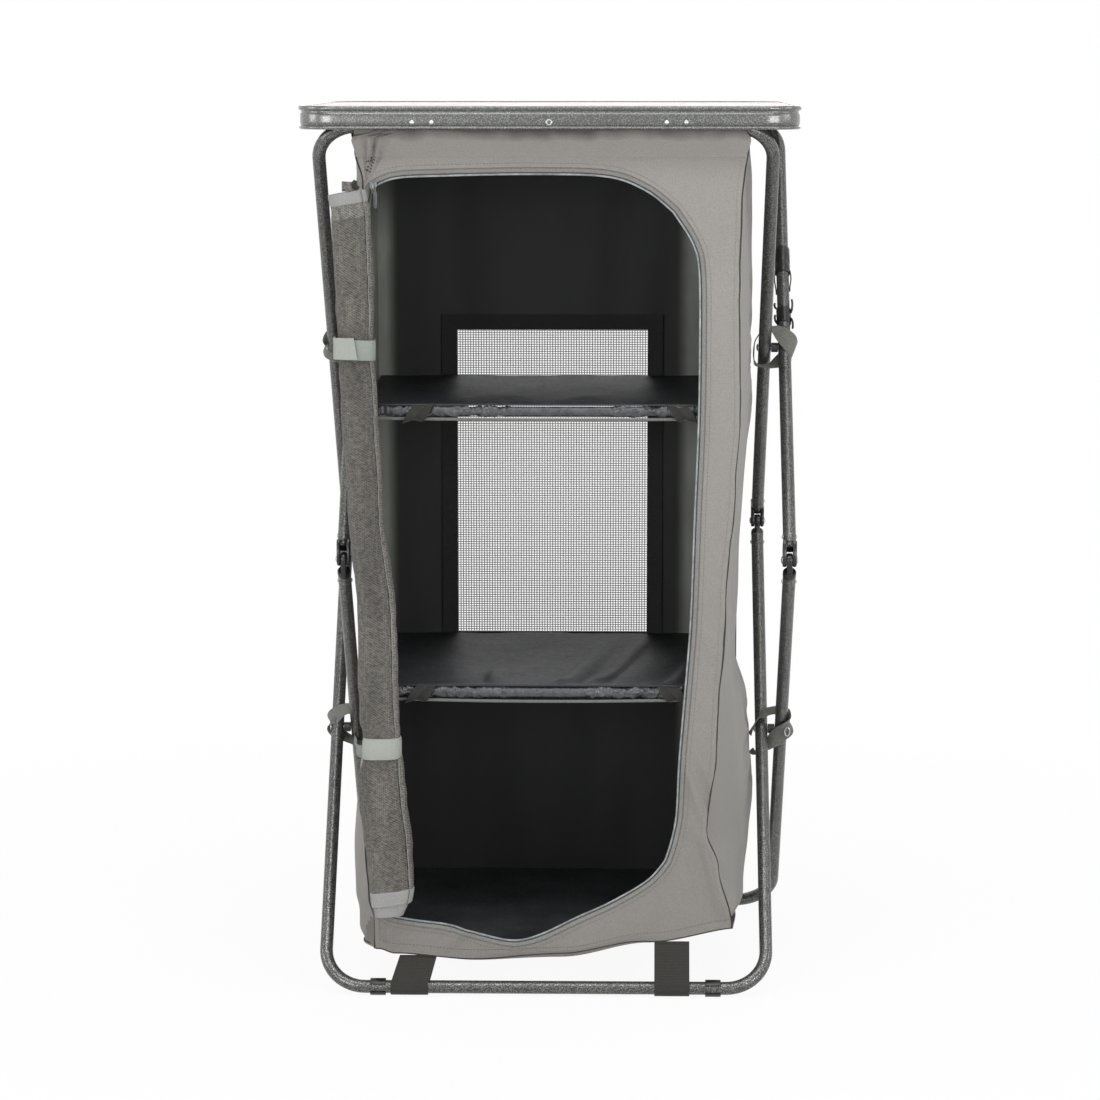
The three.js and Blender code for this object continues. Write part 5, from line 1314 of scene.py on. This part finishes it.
def stitches(s, line, thin=.42, look=0):
    """A row of stitches: slim beads along a line."""
    pitch, long = 4.2, 2.9
    count = int(sum((b - a).length for a, b in zip(line, line[1:])) / pitch)
    spots = even(line, count + 1)
    side = vec(0, -1, 0)
    for a, b in zip(spots, spots[1:]):
        t = (b - a).normalized()
        across = t.cross(side).normalized()
        c = (a + b) / 2
        base = len(s.points)
        s.points += [c - t * long / 2, c + side * thin, c + across * thin, c - side * thin, c - across * thin,
                     c + t * long / 2]
        for m in range(4):
            p, q = base + 1 + m, base + 1 + (m + 1) % 4
            s.faces += [(base, q, p), (base + 5, p, q)]
            s.looks += [look, look]


def zip_and_stitching():
    door = door_edge()
    rings = []
    for k, (p, side, rise) in enumerate(carry(even(on_front(outward(door, -.6), .3), 2200, True), True)):
        r = 1.35 if k % 2 else 1.0
        rings.append([p + side * (r * cos(t)) + rise * (r * sin(t)) for t in round_by(8)])
    Shape().grid(rings, 0, True, True, True).soft("zip_coil", "coil", "plastic")
    inner, out = outward(door, 1.2), outward(door, 7.2)
    rows = [on_front(between(inner, out, t), lift) for t, lift in ((0, -.4), (.18, .5), (.5, .9), (.9, .8), (1, -.2))]
    Shape().grid(rows, 0, False, True, True).soft("zip_tape", "tape", "plastic")
    s = Shape()
    # the cord by the coil is in the dark seam cloth, a painted shadow line; the outer one is thread
    for by, thin, look in ((1.3, .45, 0), (7.4, .3, 1)):
        s.tube(even(on_front(outward(door, by), .5), 900, True), thin, 6, look, True)
    s.soft("zip_lip", "seam thread")
    s = Shape()
    for by, lift in ((6.2, 1.0), (12.5, .3)):
        line = on_front(outward(door, by), lift)
        stitches(s, line + line[:1])
    hem = [(x, hem_z(x) + 12) for x in steps(CORNER[-1] + 4, CORNER[1] - 4, 149)]
    stitches(s, on_front(hem, .3), look=1)
    for sign in (1, -1):
        line = seam_line(sign, FRONT, hem_z(CORNER[sign]) + 8, BAG_TOP - 6 if sign > 0 else 992)
        stitches(s, on_front([(p.x - sign * 6, p.z) for p in line], .25), thin=.3)
    s.soft("stitching", "thread dark_thread")


def zip_pull():
    """The slider's body with its bridge, and the slim puller that hangs from it."""
    x, z = -210.6, 990
    body = [(-4.3, 6.6), (-3, 7), (3, 7), (4.3, 6.6), (4.1, 1), (2.6, -4.4), (1.6, -6.8), (-1.6, -6.8), (-2.6, -4.4),
            (-4.1, 1)]
    s = Shape()
    for outline, low, high, edge in ((body, -213.4, -212.2, .5), (body, -216.4, -215, .5),
                                     ([(-.8, 6.4), (.8, 6.4), (.8, 3), (-.8, 3)], -215.2, -213.2, .6)):
        s.plate(outline, lambda u, v, w: vec(x + u, w, z + v), low, high, edge)
    bridge = curve([(x, y, z + v) for y, v in ((-216.2, 5.6), (-218.6, 4.4), (-219.6, .4), (-218.6, -3.4),
                                               (-216.2, -4.8))], 6)
    s.ribbon(bridge, 2.2, .9, up=(1, 0, 0)).soft("zip_body", "slider", "steel", "zip_slider")
    low, high = [tuple(c * 1000 for c in corner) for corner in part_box("zip_puller")]
    x, y = (low[0] + high[0]) / 2 - SHIFT, (low[1] + high[1]) / 2
    tall = high[2] - low[2]
    half = [(-1.1, 0), (-1.3, -5), (-2.6, -7.5), (-2.7, -tall + 5), (-2.2, -tall + 2), (-1, -tall + .6)]
    s = Shape().plate(half + [(-u, v) for u, v in half[::-1]], lambda u, v, w: vec(x + u, y + w, high[2] + v),
                      -.6, .6, .4)
    s.plate([(1.5 * cos(k * pi / 8), 1.9 * sin(k * pi / 8)) for k in range(16)],
            lambda u, v, w: vec(x + u, y + w, low[2] + 6 + v), -1, 1, .4)
    s.make("zip_tab", "pull", "puller", "steel", "zip_puller", True)


studio()
frame_pieces()
tabletop()
cupboard()
window()
shelf("lower", 381, (-54, 46), ((-159, 1), (151, -1)), 3.2,
      [(12, 63, 17, 5), (55, 68, 15, 5.5), (34, 66, 12, -3.5), (150, 60, 16, 4)],
      [(-70, .16, 16, 7), (-120, .3, 60, 3)])
shelf("upper", 726, (-53, 77), ((-160, 1), (161, -1)), 1.6,
      [(-110, 90, 26, 2.5), (120, -60, 24, 2.5)], [(-46, .3, 58, 8), (44, .3, 60, 8)])
roll()
ties()
pivot_loops()
floor_straps()
bar_sleeves()
zip_and_stitching()
zip_pull()
small_clips()
